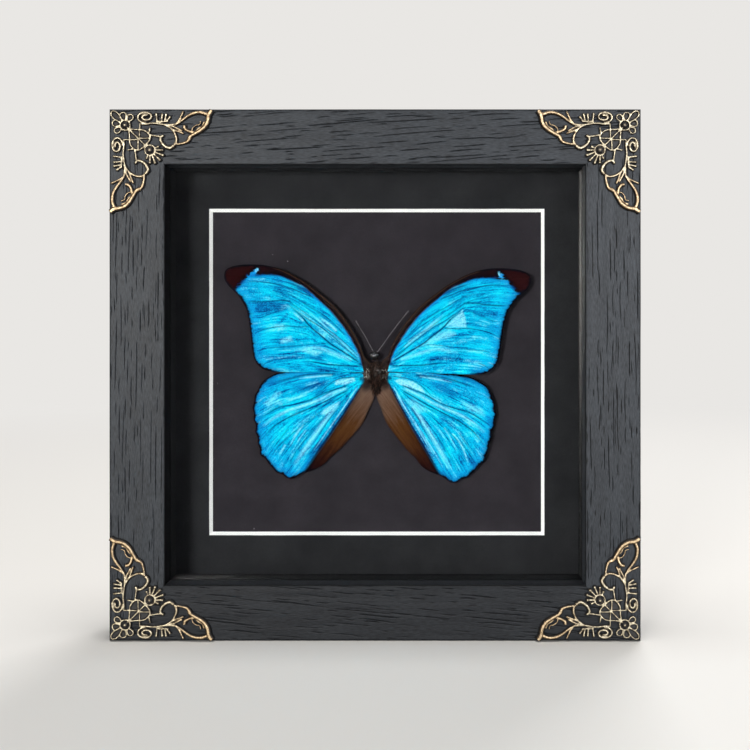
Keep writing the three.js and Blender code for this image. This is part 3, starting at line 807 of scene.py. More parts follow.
@dataclass
class Rail:
    """A mitred rail with eased arrises, whose face and sides are broken by open pores along the grain."""

    frame: BoxFrame
    side: Side
    slope: float
    seed: int
    face_step: float = 0.17
    side_step: float = 1.0
    lip_step: float = 0.9
    along_step: float = 1.4
    outer_arris: float = 0.8
    inner_arris: float = 0.5
    pore_length: float = 9.0
    line_gap: float = 1.5
    pore_gap: float = 15.0
    finish: PaintedOak = OAK
    lip_finish: Finish = OAK

    def profile(self) -> tuple[Array, Array, Array]:
        """Draws the closed section of the rail.

        Returns:
            Its points as distance inwards and depth, the outward direction at each, and how far each lies
            across the opened-out surface.
        """
        wide, deep, lip = self.frame.rail_width, self.frame.depth, self.frame.lip
        rows: list[tuple[float, float, float, float, float]] = []
        for inwards in np.arange(self.outer_arris, wide - self.inner_arris, self.face_step):
            rows.append((inwards, 0, 0, -1, inwards))
        for angle in np.radians([0, 30, 60, 90]):
            sine, cosine = math.sin(angle), math.cos(angle)
            inwards = wide - self.inner_arris + self.inner_arris * sine
            rows.append((inwards, self.inner_arris * (1 - cosine), sine, -cosine, inwards))
        for depth in np.arange(self.inner_arris + self.lip_step, lip, self.lip_step):
            rows.append((wide, depth, 1, 0, wide + depth))
        rebate = wide - self.frame.rebate
        rows += [(wide, lip, 0, 0, wide + lip), (rebate, lip, 0, 0, 0), (rebate, deep, 0, 0, 0),
            (0, deep, 0, 0, -deep)]
        for depth in np.arange(deep - self.side_step, self.outer_arris, -self.side_step):
            rows.append((0, depth, -1, 0, -depth))
        for angle in np.radians([90, 67, 45, 22]):
            sine, cosine = math.sin(angle), math.cos(angle)
            drawn_in = self.outer_arris * (1 - sine)
            rows.append((drawn_in, self.outer_arris * (1 - cosine), -sine, -cosine,
                drawn_in - self.outer_arris * sine))
        table = np.array(rows)
        return table[:, :2], table[:, 2:4], table[:, 4]

    def pores(self) -> list[Pore]:
        """Scatters pores along grain lines that drift across the rail."""
        rng = np.random.default_rng(self.seed)
        half = self.frame.outer / 2
        spread = abs(self.slope) * half
        found = []
        line = -self.frame.depth - spread
        while line < self.frame.rail_width + self.frame.lip + spread:
            line += self.line_gap * rng.uniform(0.5, 1.5)
            along = -half + rng.uniform(0, self.pore_gap)
            dense = rng.uniform(0.6, 1.8)
            while along < half:
                length = float(np.clip(rng.lognormal(math.log(self.pore_length), 0.65), 2.5, 40.0))
                along += length / 2
                found.append(
                    Pore(
                        across=line + self.slope * along + rng.normal(0, 0.22),
                        along=along,
                        length=length,
                        half_width=rng.uniform(0.08, 0.17),
                        slope=self.slope + rng.normal(0, 0.015),
                        bend=rng.normal(0, 0.2),
                        depth=rng.uniform(0.15, 0.32),
                    )
                )
                along += length / 2 + rng.exponential(self.pore_gap) * dense + 1.0
        return found

    def carve(self, across: Array, along: Array) -> tuple[Array, Array]:
        """Works out how open and how deep the pores are at each point of the rail.

        Args:
            across: Place of each section point across the opened-out surface.
            along: Place along the rail, by step and section point.

        Returns:
            The openness from 0 to 1 and the depth in millimetres, both shaped as along is.
        """
        openness = np.zeros_like(along)
        depth = np.zeros_like(along)
        for pore in self.pores():
            reach = pore.half_width + abs(pore.slope) * pore.length / 2 + abs(pore.bend) + 0.3
            columns = np.flatnonzero(np.abs(across - pore.across) < reach)
            if not len(columns):
                continue
            rows = np.flatnonzero(np.abs(along[:, columns[0]] - pore.along) < pore.length / 2 + 1)
            block = np.ix_(rows, columns)
            share = (along[block] - pore.along) / (pore.length / 2)
            middle = pore.across + pore.slope * share * pore.length / 2 + pore.bend * (share**2 - 0.3)
            width = pore.half_width * np.sqrt(np.clip(1 - share**4, 0, 1))
            width *= 1 + 0.35 * value_noise(along[block] / 1.6, across[columns][None, :] * 0 + pore.across, 5)
            cut = np.clip(1.6 - np.abs(across[columns][None, :] - middle) / np.maximum(width, 1e-3), 0, 1)
            cut[np.abs(share) > 1] = 0
            openness[block] = np.maximum(openness[block], cut)
            depth[block] = np.maximum(depth[block], cut * pore.depth)
        return openness, depth

    def build(self) -> Object:
        """Builds the rail and puts it on its side of the square."""
        section, outward, across = self.profile()
        steps = math.ceil(self.frame.outer / self.along_step)
        reach = self.frame.outer / 2 - section[:, 0] - self.frame.mitre_gap * math.sqrt(2)
        along = np.linspace(-1, 1, steps + 1)[:, None] * reach[None, :]
        openness, cut = self.carve(across, along)
        worked = np.linalg.norm(outward, axis=1)
        # Open pores need the fine steps of the face; elsewhere the finish draws them.
        on_face = (across > 0) & (across < self.frame.rail_width)
        wave = 0.045 * (1 + value_noise(across / 2.6 + 40, along / 34 + 40, self.seed))
        wave += 0.018 * (1 + value_noise(across / 0.9 + 40, along / 9 + 40, self.seed + 1))
        sink = (wave + cut * on_face) * worked
        shape = section[None, :, :] - outward[None, :, :] * sink[:, :, None]
        half = self.frame.outer / 2
        points = np.stack([along, self.frame.face + shape[:, :, 1], shape[:, :, 0] - half], axis=2)
        count = len(section)
        points = turned(points.reshape(-1, 3), -self.side.value * math.pi / 2)
        points[:, 2] += self.frame.middle
        ends = [np.arange(count)[::-1], np.arange(count) + steps * count]
        faces = [*rounds(steps + 1, count).tolist(), *ends]
        name = f"{self.side.name.lower()}_rail"
        piece = finished(f"painted_{name}", mesh_of(points, faces), [self.finish, self.lip_finish], sharp=50)
        # A dark line along both front arrises is painted shade at the edges; it goes into the pore attribute
        # with the open pores.
        arris = [np.exp(-(((section[:, 0] - at) / 0.42) ** 2)) for at in (0.15, self.frame.rail_width - 0.1)]
        edge = 0.95 * np.maximum(*arris) * (section[:, 1] < 1.0)
        store(piece, "pore", np.maximum(openness * on_face, edge).ravel())
        # The wall above the glass takes the lip finish; the left rail's black board there is painted shade.
        wall = (section[:, 0] > self.frame.rail_width - 0.01) & (section[:, 1] > 0.4)
        lip_faces = np.append(np.tile(wall & np.roll(wall, -1), steps), [False, False])
        pick_slots(piece, lip_faces)
        self.unroll(piece, np.broadcast_to(across, along.shape).ravel(), along.ravel())
        return settle(piece, "painted_wood", name)

    def unroll(self, piece: Object, across: Array, along: Array) -> None:
        """Lays the opened-out surface into the piece's own map, so that its grain follows the rail."""
        layer = piece.data.uv_layers.new(name="grain")
        corners = np.zeros(len(piece.data.loops), np.int32)
        piece.data.loops.foreach_get("vertex_index", corners)
        half = OAK.uv_size / 2
        spots = np.stack([across[corners] + half, along[corners] + half], 1) / OAK.uv_size + self.seed
        layer.data.foreach_set("uv", spots.astype(np.float32).ravel())


@dataclass
class WindowMount:
    """A mount board: black paper on a white core that shows where its window is cut at 45 degrees."""

    frame: BoxFrame
    width: float = 164.9
    height: float = 160.6
    shift_x: float = -0.25
    shift_z: float = 0.3
    paper: float = 0.12
    eased: float = 0.05
    side_steps: int = 60
    wobble: float = 0.05

    def loop(self, half: Array, depth: float, middle: Array, rough: float) -> Array:
        """A rectangle of points, evenly stepped along each side.

        Args:
            half: Half of its width and height.
            depth: Its Y.
            middle: Its middle, from the frame's middle.
            rough: How far the cut wanders.

        Returns:
            The points, anticlockwise from the lower left corner.
        """
        corners = np.array([[-1, -1], [1, -1], [1, 1], [-1, 1]]) * half
        share = (np.arange(self.side_steps) / self.side_steps)[:, None]
        flat = np.concatenate([a + (b - a) * share for a, b in zip(corners, np.roll(corners, -1, axis=0))])
        wander = rough * value_noise(np.arange(len(flat)) / 3.1, np.zeros(len(flat)), 11)
        flat *= 1 + (wander / half[0])[:, None]
        x, z = (flat + middle + [0, self.frame.middle]).T
        return np.stack([x, np.full(len(flat), depth), z], 1)

    def build(self) -> Object:
        """Builds the board from its outer edge over the face and down the bevel to its back."""
        low, high = box_mm("window_mount")
        front, back = low[1], high[1]
        edge = np.full(2, (high[0] - low[0]) / 2)
        window, middle = np.array([self.width, self.height]) / 2, np.array([self.shift_x, self.shift_z])
        loops = [self.loop(edge, depth, np.zeros(2), 0.0) for depth in (back, front)]
        loops.append(self.loop(window + self.eased, front, middle, self.wobble))
        for share in (0.0, 0.3, 1.0):
            inset = self.paper + share * (back - front - self.paper)
            loops.append(self.loop(window - inset, front + inset, middle, self.wobble * (1 - share)))
        faces = rounds(len(loops), len(loops[0]), closed=True)
        board_mesh = mesh_of(np.concatenate(loops), faces)
        piece = finished("bevelled_window_mount", board_mesh, [MOUNT_PAPER, MOUNT_CORE], sharp=30)
        round_of_face = np.arange(len(faces)) // len(loops[0])
        pick_slots(piece, (round_of_face == 3) | (round_of_face == 4))
        return settle(piece, "mount_board", "window_mount")


# ---- brass corners ----
@dataclass(frozen=True)
class Wire:
    """A line of the casting, in millimetres right of and below the frame's corner.

    Its width runs from width to end, and a doubled line is repeated on the other side of the diagonal.
    """

    points: Path
    width: float
    end: float
    doubled: bool = True


@dataclass(frozen=True)
class Blossom:
    """A flower on the diagonal, at the same distance from both sides: a ring with a bead in it, by radius."""

    at: float
    ring: float
    bead: float


@dataclass
class Filigree:
    """A cast corner, drawn once as wires, fused, and turned to the four corners of the frame."""

    frame: BoxFrame
    standoff: float = 0.05
    proud: float = 2.0
    sink: float = 0.3
    voxel: float = 0.19
    kept: float = 0.34
    smoothing: int = 3
    swell: float = 1.42
    height: float = 1.25
    plate: float = 0.45
    lift: float = 1.0
    flower: Blossom = Blossom(7.9, 2.35, 1.45)
    daisy: Blossom = Blossom(19.5, 2.4, 1.6)
    petals: tuple[tuple[float, float, float], ...] = ((0, 9.0, 3.0), (33, 6.1, 2.9), (78, 5.8, 2.5))
    spoons: tuple[tuple[float, float], ...] = ((0, 7.5), (23, 7.4), (45, 6.7), (68, 4.9))
    coil_at: Point = (17.5, 3.95)
    coil_start: float = 4.3
    coil_end: float = 0.8
    coil_turns: float = 1.7
    coil_squash: float = 0.68
    net: Path = ((9.6, 9.6), (16.6, 10.2), (19.0, 12.4), (19.0, 14.8), (17.4, 17.4))
    wires: tuple[Wire, ...] = (
        Wire(
            (
                (48.6, 0.9), (47.2, 3.0), (46.5, 6.4), (44.7, 9.2), (41.2, 11.5), (38.2, 13.3), (37.0, 15.5),
                (33.4, 16.6), (31.4, 16.8),
            ),
            2.1,
            0.9,
        ),
        Wire(((47.2, 3.2), (43.6, 1.9), (40, 2.2), (36.8, 3.8), (34, 6), (31.6, 7.5)), 1.7, 0.8),
        Wire(((38.6, 13.4), (37.2, 15.4)), 1.3, 1.9),
        Wire(((31.6, 7.4), (33.4, 5), (35.3, 1)), 0.8, 0.9),
        Wire(((32.0, 7.4), (26.8, 7.6), (21.2, 6.9), (17.2, 7.3), (15.0, 7.0)), 0.8, 1.0),
        Wire(((26.4, 7.6), (29.6, 9.6), (31.6, 12.8), (31.8, 15.6), (30.6, 17.6)), 0.8, 1.3),
        Wire(((30.8, 17.4), (28.6, 18.6), (26.0, 17.2), (24.6, 15.2), (24.6, 13.4), (26.3, 12.5)), 1.6, 1.2),
        Wire(((22.7, 6.9), (23.0, 6.1), (27.3, 6.1), (28.0, 5.2)), 0.7, 0.8),
        Wire(((22.9, 6.2), (22.3, 1.8)), 0.7, 1.35),
        Wire(((25.0, 6.2), (25.2, 2.0)), 0.7, 1.35),
        Wire(((26.4, 6.2), (27.2, 2.0)), 0.7, 1.35),
        Wire(((27.4, 6.0), (29.2, 3.4)), 0.7, 1.35),
        Wire(((26.6, 7.5), (30.6, 8.5), (34.8, 10.6)), 0.7, 0.9),
        Wire(((29.0, 9.2), (32.4, 10.7), (35.5, 11.8)), 0.7, 0.9),
        Wire(((35.6, 7.9), (36.0, 9.6), (38.2, 10.8), (41.0, 11.2)), 1.5, 1.0),
        Wire(((39.2, 11.0), (39.6, 9.2), (41.2, 7.9), (42.8, 7.5), (43.4, 5.6)), 0.55, 0.5),
        Wire(((41.0, 10.6), (42.0, 9.4), (44.0, 8.2), (44.8, 6.0)), 0.5, 0.5),
        Wire(((9.4, 9.4), (12.6, 9.9), (16.6, 10.2), (19.1, 12.2), (19.4, 14.6), (17.3, 17.3)), 0.7, 0.8),
        Wire(((14.7, 7), (14.6, 13.6)), 0.6, 0.6),
        Wire(((13.9, 14), (19.3, 13.9)), 0.6, 0.6),
        Wire(((18.9, 12.2), (19.6, 8.6)), 0.7, 0.7),
        Wire(((19, 12.3), (21.8, 12.8), (24.8, 13.2)), 0.8, 0.8),
        Wire(((9, 9), (17.4, 17.4)), 0.7, 0.7, doubled=False),
    )

    def coil(self) -> Wire:
        """The coil at the end of the stem."""
        share = np.linspace(0, 1, 34)
        angle = math.pi / 2 + share * self.coil_turns * 2 * math.pi
        radius = self.coil_start + (self.coil_end - self.coil_start) * share**0.9
        u = self.coil_at[0] + radius * np.cos(angle)
        v = self.coil_at[1] + self.coil_squash * radius * np.sin(angle)
        return Wire(tuple(zip(u, v)), 1.0, 1.2)

    def ring(self, blossom: Blossom) -> Wire:
        """The ring of a flower."""
        angle = np.linspace(0, 2 * math.pi, 17)
        u, v = blossom.at + blossom.ring * np.cos(angle), blossom.at + blossom.ring * np.sin(angle)
        return Wire(tuple(zip(u, v)), 0.75, 0.75, doubled=False)

    def hollow_petal(self, turn: float, reach: float, width: float) -> Wire:
        """A petal of the corner flower: a loop of wire with a round end.

        Args:
            turn: Degrees from the diagonal.
            reach: How far it stands from the flower's middle.
            width: How wide it is.

        Returns:
            The loop.
        """
        share = np.linspace(0, 2 * math.pi, 15)
        start = self.flower.ring
        along = (start + reach) / 2 - (reach - start) / 2 * np.cos(share)
        aside = width / 2 * 0.86 * np.sin(share) * (1.15 - 0.35 * np.cos(share))
        angle = math.radians(225 + turn)
        u = self.flower.at + along * math.cos(angle) - aside * math.sin(angle)
        v = self.flower.at + along * math.sin(angle) + aside * math.cos(angle)
        return Wire(tuple(zip(u, v)), 0.7, 0.7, doubled=False)

    def spoon(self, turn: float, reach: float) -> list[Wire]:
        """A petal of the daisy: a thin neck that ends in a long bulb.

        Args:
            turn: Degrees from the diagonal.
            reach: How far it stands from the flower's middle.

        Returns:
            The neck and the bulb.
        """
        angle = math.radians(45 + turn)
        ring = self.daisy.ring
        bulb = ring + 0.4 * (reach - ring)

        def spot(radius: float) -> Point:
            """The place at a distance from the daisy's middle."""
            return self.daisy.at + radius * math.cos(angle), self.daisy.at + radius * math.sin(angle)

        neck = Wire((spot(ring), spot(bulb)), 0.7, 1.0, doubled=False)
        return [neck, Wire((spot(bulb), spot(reach)), 1.0, 1.9, doubled=False)]

    def drawing(self) -> Iterable[tuple[Array, Array]]:
        """Draws every wire as a line of points, with half of its width at each."""
        wires = [*self.wires, self.coil(), self.ring(self.flower), self.ring(self.daisy)]
        for turn, reach, width in self.petals:
            wires += [self.hollow_petal(side * turn, reach, width) for side in ((1, -1) if turn else (1,))]
        for turn, reach in self.spoons:
            for side in (1, -1) if turn else (1,):
                wires += self.spoon(side * turn, reach)
        for wire in wires:
            run = smooth_path(wire.points, 0.25)
            length = np.concatenate([[0], np.cumsum(np.linalg.norm(np.diff(run, axis=0), axis=1))])
            radius = self.swell / 2 * (wire.width + (wire.end - wire.width) * (length / length[-1]) ** 1.5)
            # The far end is round; thin wires are lifted, so that all crests come to about the same height.
            left = np.clip((length[-1] - length) / radius, 0, 1)
            rounded = radius * np.sqrt(np.clip(1 - (1 - left) ** 2, 0.06, 1))
            lift = np.clip(self.lift - radius * self.height, 0, None) / self.height
            for u, v in (run.T, run.T[::-1]) if wire.doubled else (run.T,):
                yield np.column_stack([u, -v, lift]), rounded

    def floors(self, shell: BMesh) -> None:
        """Adds the bead of each flower and the thin webs that close the net, the rings and the petals."""
        low = -self.sink
        for blossom in (self.flower, self.daisy):
            place = Matrix.Translation((blossom.at, -blossom.at, 0.2)) @ Matrix.Diagonal((1, 1, 1.1, 1))
            bmesh.ops.create_icosphere(shell, subdivisions=3, radius=blossom.bead, matrix=place)
            web = Matrix.Translation((blossom.at, -blossom.at, low)) @ Matrix.Diagonal((1, 1, 0.18, 1))
            bmesh.ops.create_icosphere(shell, subdivisions=2, radius=blossom.ring + 0.3, matrix=web)
        for turn, reach, width in self.petals:
            for side in (1, -1) if turn else (1,):
                angle = math.radians(225 + side * turn)
                half = (reach - self.flower.ring) / 2
                away = half + self.flower.ring
                x, y = self.flower.at + away * math.cos(angle), self.flower.at + away * math.sin(angle)
                place = Matrix.Translation((x, -y, low)) @ Matrix.Rotation(-angle, 4, "Z")
                place @= Matrix.Diagonal((half, width * 0.42, self.plate, 1))
                bmesh.ops.create_icosphere(shell, subdivisions=2, radius=1, matrix=place)
        rim = [*self.net, *[(v, u) for u, v in reversed(self.net)][1:-1]]
        top = [shell.verts.new((u, -v, low + self.plate)) for u, v in rim]
        under = [shell.verts.new((u, -v, low - 0.2)) for u, v in rim]
        shell.faces.new(top)
        shell.faces.new(under[::-1])
        for i in range(len(rim)):
            j = (i + 1) % len(rim)
            shell.faces.new((top[i], under[i], under[j], top[j]))

    def casting(self) -> Mesh:
        """Fuses the wires into one casting that lies on its flat back, front up, in millimetres."""
        mesh = rods("casting", self.drawing(), BRASS, self.height)
        shell = bmesh.new()
        shell.from_mesh(mesh)
        self.floors(shell)
        bmesh.ops.recalc_face_normals(shell, faces=shell.faces)
        shell.to_mesh(mesh)
        shell.free()
        rough = put("casting", mesh)
        fuse = rough.modifiers.new("fuse", "REMESH")
        fuse.mode = "VOXEL"
        fuse.voxel_size = self.voxel
        soften = rough.modifiers.new("soften", "SMOOTH")
        soften.factor = 0.5
        soften.iterations = self.smoothing
        lighten = rough.modifiers.new("lighten", "DECIMATE")
        lighten.ratio = self.kept
        return plain(rough)

    def build(self) -> None:
        """Builds the four corners."""
        fused = self.casting()
        points = np.zeros(len(fused.vertices) * 3)
        fused.vertices.foreach_get("co", points)
        points = points.reshape(-1, 3)
        height = np.clip(points[:, 2] + self.sink, 0, self.proud - self.standoff)
        rub_and_highlight, gold = self.wear_and_highlights(fused, points, height)
        half = self.frame.outer / 2
        inset = np.clip(np.stack([points[:, 0], -points[:, 1]], 1), 0.15, None)
        forward = self.frame.face - self.standoff - height
        upright = np.stack([inset[:, 0] - half, forward, half - inset[:, 1]], 1)
        for quarter, place in enumerate(("top_left", "top_right", "bottom_right", "bottom_left")):
            spots = turned(upright, quarter * math.pi / 2)
            spots[:, 2] += self.frame.middle
            mesh = fused.copy()
            mesh.vertices.foreach_set("co", (spots * MM).astype(np.float32).ravel())
            piece = finished(f"brass_corner_{place}", mesh, [BRASS], sharp=70)
            store(piece, "rub_and_highlight", rub_and_highlight)
            store(piece, "gold", gold)
            settle(piece, "aged_brass", f"corner_{place}")

    def wear_and_highlights(self, fused: Mesh, points: Array, height: Array) -> tuple[Array, Array]:
        """Works out where hands and cloths have rubbed the casting, and where highlight is painted on crests
        and beads.

        Args:
            fused: The casting, front up.
            points: Its corners.
            height: How far each stands above the casting's back.

        Returns:
            How bright each corner is, from rubbing and from painted highlight, and how golden it is.
        """
        facing = np.zeros(len(points) * 3)
        fused.vertex_normals.foreach_get("vector", facing)
        up = facing.reshape(-1, 3)[:, 2]
        # Wires are rubbed bright where they face straight out and stand high; this narrow crest is also a
        # painted highlight, with painted shade down the wires' sides.
        crest = smoothstep(0.6, 1.0, up) * smoothstep(0.5, 1.15, height)
        # Beads stay dark apart from a painted highlight where they face straight out.
        for blossom in (self.flower, self.daisy):
            away = np.hypot(points[:, 0] - blossom.at, points[:, 1] + blossom.at)
            on_bead = away < 1.1 * blossom.bead
            crest[on_bead] *= 0.3 + 0.6 * smoothstep(0.9, 0.99, up[on_bead])
        out = np.maximum(points[:, 0], -points[:, 1])
        return 0.02 + 0.7 * crest, smoothstep(27, 37, out)


# ---- butterfly ----
class Mark(Enum):
    """What a line or patch on a wing does to its scales. The value is its channel."""

    # DEEP marks are painted shade and PALE marks painted highlight, apart from the white tip of each
    # forewing's finger.
    DEEP = 0
    PALE = 1
    VEIN = 2


DEEP, PALE, VEIN = Mark


@dataclass(frozen=True)
class Stroke:
    """A soft line on a wing, in millimetres out from and above the hinge, with a strength of up to 1."""

    mark: Mark
    width: float
    strength: float
    points: Path


@dataclass(frozen=True)
class Patch(Stroke):
    """A soft-edged area on a wing, drawn as an outline. Its width is how far its edge fades."""


@dataclass(frozen=True)
class WingPlan:
    """The drawing that a left and a right wing share."""

    outline: Path
    veins: tuple[Stroke, ...]
    blue_edge: Path
    edge_side: int
    margin_from: float
    fingers: tuple[tuple[Path, float], ...] = ()


FORE_PLAN = WingPlan(
    outline=(
        (-2.5, 2.6), (0.2, 5.4), (1.6, 9.0), (3.0, 12.5), (4.9, 15.9), (7.0, 19.2), (9.1, 22.4), (11.4, 25.4),
        (13.9, 28.4), (16.7, 31.1), (19.6, 33.6), (22.7, 35.9), (25.7, 38.3), (28.8, 40.6), (32.1, 42.6),
        (35.4, 44.5), (38.9, 46.2), (42.5, 47.6), (46.2, 48.6), (50.0, 49.2), (53.9, 49.4), (57.7, 49.4),
        (61.6, 49.1), (65.4, 48.3), (68.7, 46.5), (69.4, 42.8), (67.7, 39.4), (65.0, 36.7), (62.3, 34.0),
        (60.1, 30.8), (58.3, 27.4), (57.4, 23.7), (56.6, 19.9), (56.1, 16.1), (55.6, 12.3), (55.1, 8.4),
        (54.4, 4.7), (52.7, 1.2), (49.8, -1.3), (46.2, -2.4), (42.3, -2.7), (30.0, -2.6), (18.0, -2.3),
        (6.0, -2.2), (-2.5, -1.6),
    ),
    veins=(
        Stroke(VEIN, 0.8, 1.0, ((2, 2), (8, 6.1), (17.1, 11.6), (21.3, 15.1), (27.1, 19.8), (30.4, 23.6),
            (34, 27), (37.7, 30))),
        Stroke(VEIN, 2.2, 0.8, ((-1, 1.6), (1.4, 1.8), (3.4, 2.2))),
        Stroke(VEIN, 1.1, 0.75, ((26.5, 35.8), (30.5, 38.2), (35.5, 40.2), (39.5, 41.4))),
        Stroke(VEIN, 0.5, 0.8, ((25.3, 33.2), (29.8, 36.6), (36, 39.4))),
        Stroke(PALE, 0.45, 0.9, ((29.2, 38.4), (31.6, 39.6), (34.2, 40.6))),
        Stroke(VEIN, 0.55, 0.8, ((2.7, 3.6), (13.2, 12.8), (21.8, 19.5), (29, 23.9), (36.4, 29.6))),
        Stroke(VEIN, 0.5, 0.6, ((2.4, 4.8), (11.9, 13.8), (19.2, 18.8), (27.5, 24.9), (32.7, 28.4),
            (37.9, 31.9), (43.2, 34.6), (46.3, 36.4))),
        Stroke(VEIN, 0.55, 0.85, ((25.5, 33.9), (31, 35.8), (36, 38), (43, 39.9), (50, 41), (57, 41),
            (60.3, 40.4))),
        Stroke(VEIN, 0.6, 0.55, ((9.4, 15), (16.1, 22), (22.8, 26.5), (29.5, 30.5), (38, 35.5),
            (45.5, 36.8))),
        Stroke(VEIN, 0.8, 0.85, ((36.4, 31.9), (42, 32.2), (47, 31.6), (53, 31.2), (59.1, 31.4))),
        Stroke(VEIN, 0.45, 0.55, ((38.5, 28.6), (44, 26.6), (51.7, 23.6), (56.3, 23.8))),
        Stroke(VEIN, 0.5, 0.8, ((27.1, 19.7), (33.6, 19.5), (38.7, 19.8), (46.4, 18.8), (51.1, 17.5),
            (54.6, 15.6))),
        Stroke(VEIN, 0.45, 0.65, ((17.8, 11.5), (25.5, 11.2), (33.8, 10.2), (42, 9.3), (48, 8.8),
            (53.9, 6.3))),
        Stroke(VEIN, 0.7, 0.9, ((1.8, 0.7), (8.2, 1), (17.5, 1.4), (23.6, 2.3), (29.1, 2.8))),
        Stroke(DEEP, 1.9, 0.9, ((20, 4), (27, 4.8), (35, 4.5), (42, 3.8), (49.5, 4.3))),
        Stroke(VEIN, 0.5, 0.7, ((44.6, 2.9), (47.7, 1.8), (50.7, -0.3))),
        Stroke(PALE, 1.5, 0.55, ((6, 3.6), (14, 6.4), (24, 9.4), (34, 8))),
        Stroke(PALE, 0.8, 0.6, ((8, 9.5), (16, 16.6), (22.5, 22.4), (27, 26))),
    ),
    blue_edge=(
        (1.6, 2.6), (2.9, 7.0), (6.4, 13.6), (11.2, 20.8), (17.0, 27.6), (22.8, 32.8), (27.5, 36.9),
        (31.0, 39.6), (36.0, 41.9), (41.8, 44.2), (48.0, 44.9), (53.4, 44.6), (56.6, 44.4), (58.9, 43.0),
        (61.2, 40.4), (63.6, 37.8), (66.0, 36.6),
    ),
    edge_side=1,
    margin_from=44.0,
    fingers=((((57.2, 42.8), (55.3, 45.2), (53.6, 46.9)), 0.85),),
)
HIND_PLAN = WingPlan(
    outline=(
        (-2.0, 2.4), (10.0, 3.4), (24.0, 4.2), (36.0, 3.6), (42.4, 2.3), (45.2, 1.3), (47.8, -0.1),
        (50.2, -1.9), (52.0, -4.2), (53.1, -6.9), (54.5, -9.6), (54.7, -12.5), (55.4, -15.4), (54.6, -18.4),
        (54.6, -21.2), (53.4, -24.1), (53.6, -27.1), (52.4, -29.9), (52.2, -32.7), (51.1, -35.6),
        (50.7, -38.4), (48.2, -40.2), (46.6, -42.4), (44.5, -44.6), (42.6, -46.6), (39.5, -47.7),
        (37.1, -49.4), (34.2, -49.4), (31.7, -47.8), (29.1, -46.3), (26.3, -45.4), (23.5, -44.4),
        (20.9, -43.0), (18.7, -41.1), (16.9, -38.7), (14.7, -36.7), (12.5, -34.7), (10.6, -32.5),
        (8.7, -30.3), (6.7, -28.0), (4.8, -25.7), (2.9, -23.4), (1.4, -20.9), (0.2, -18.2), (-0.8, -15.4),
        (-2.0, -12.7), (-3.2, -10.0), (-3.7, -7.1), (-3.6, -3.0),
    ),
    veins=(
        Stroke(VEIN, 0.5, 0.8, ((3.5, 1.6), (9, 0.9), (13.9, -0.1), (19, -3.3), (23.4, -7.8))),
        Stroke(VEIN, 2.4, 0.85, ((0, 0.6), (2.2, 0.4), (4.0, 0.8))),
        Stroke(DEEP, 2.2, 1.0, ((3.0, -3.2), (10.2, -15.2), (17.6, -27.0), (25.4, -39.0), (30.4, -46.0))),
        Stroke(PALE, 0.45, 0.9, ((4.4, -3.2), (11.4, -14.6), (18.8, -26.2), (24.6, -35.0))),
        Stroke(VEIN, 1.0, 0.75, ((14.7, 2.2), (23, 2.2), (29, 1.6), (34.4, 0.3), (41.5, -1.7), (46.1, -3.3))),
        Stroke(PALE, 0.7, 0.9, ((16.8, 2.0), (20, 1.5), (28, 0.4), (32.8, -0.4))),
        Stroke(VEIN, 0.7, 0.85, ((7.8, -2.5), (14.5, -4.8), (21.6, -7.6), (28.7, -11.2), (35.4, -13.2),
            (42.5, -15), (50, -19.5), (53.3, -21.8))),
        Stroke(VEIN, 0.7, 0.85, ((8, -4.8), (14.6, -8.2), (21.2, -11.8), (27.5, -14.8), (33, -17.3),
            (39.6, -20.8), (45.4, -25), (50.6, -31.3))),
        Stroke(VEIN, 0.5, 0.55, ((9, -6), (13, -9.2), (20.1, -12.8), (27.5, -16))),
        Stroke(PALE, 1.2, 0.8, ((8.9, -4.0), (17.4, -7.4), (22.6, -10.3), (29.7, -13.2), (38.1, -16.4),
            (44.6, -20.0), (49.5, -24.0))),
        Stroke(PALE, 1.7, 0.8, ((13.5, -11.5), (18.3, -18.3), (23.0, -25.3), (28.9, -34.6), (33.4, -42))),
        Stroke(DEEP, 2.6, 0.85, ((7.2, -8.0), (14.4, -20.0), (22.5, -33.0), (29.6, -44.0))),
        Stroke(VEIN, 0.5, 0.6, ((7.6, -7), (12.9, -13.4), (16.9, -18.4), (19.8, -23.2), (24.4, -31))),
        Stroke(VEIN, 0.9, 1.0, ((1.2, -0.8), (8.4, -12.8), (16.1, -25.2), (24, -37.4), (29.6, -46))),
        Stroke(VEIN, 0.5, 0.5, ((20, -14.4), (29, -22), (36.6, -28.4), (42, -34), (46.6, -41))),
        Stroke(VEIN, 0.5, 0.45, ((17.6, -15.6), (25.4, -25), (32, -34), (37.8, -44.6))),
        Stroke(PALE, 0.6, 0.6, ((30, -22.5), (33.6, -28), (36.6, -33.6))),
        Stroke(VEIN, 0.6, 0.45, ((37.2, -24.7), (40.5, -29), (44.1, -34.2))),
    ),
    blue_edge=((1.6, 1.2), (1.9, -1.6), (8.4, -13.2), (15.8, -25.6), (23.7, -37.8), (29.2, -46.6)),
    edge_side=-1,
    margin_from=24.0,
)


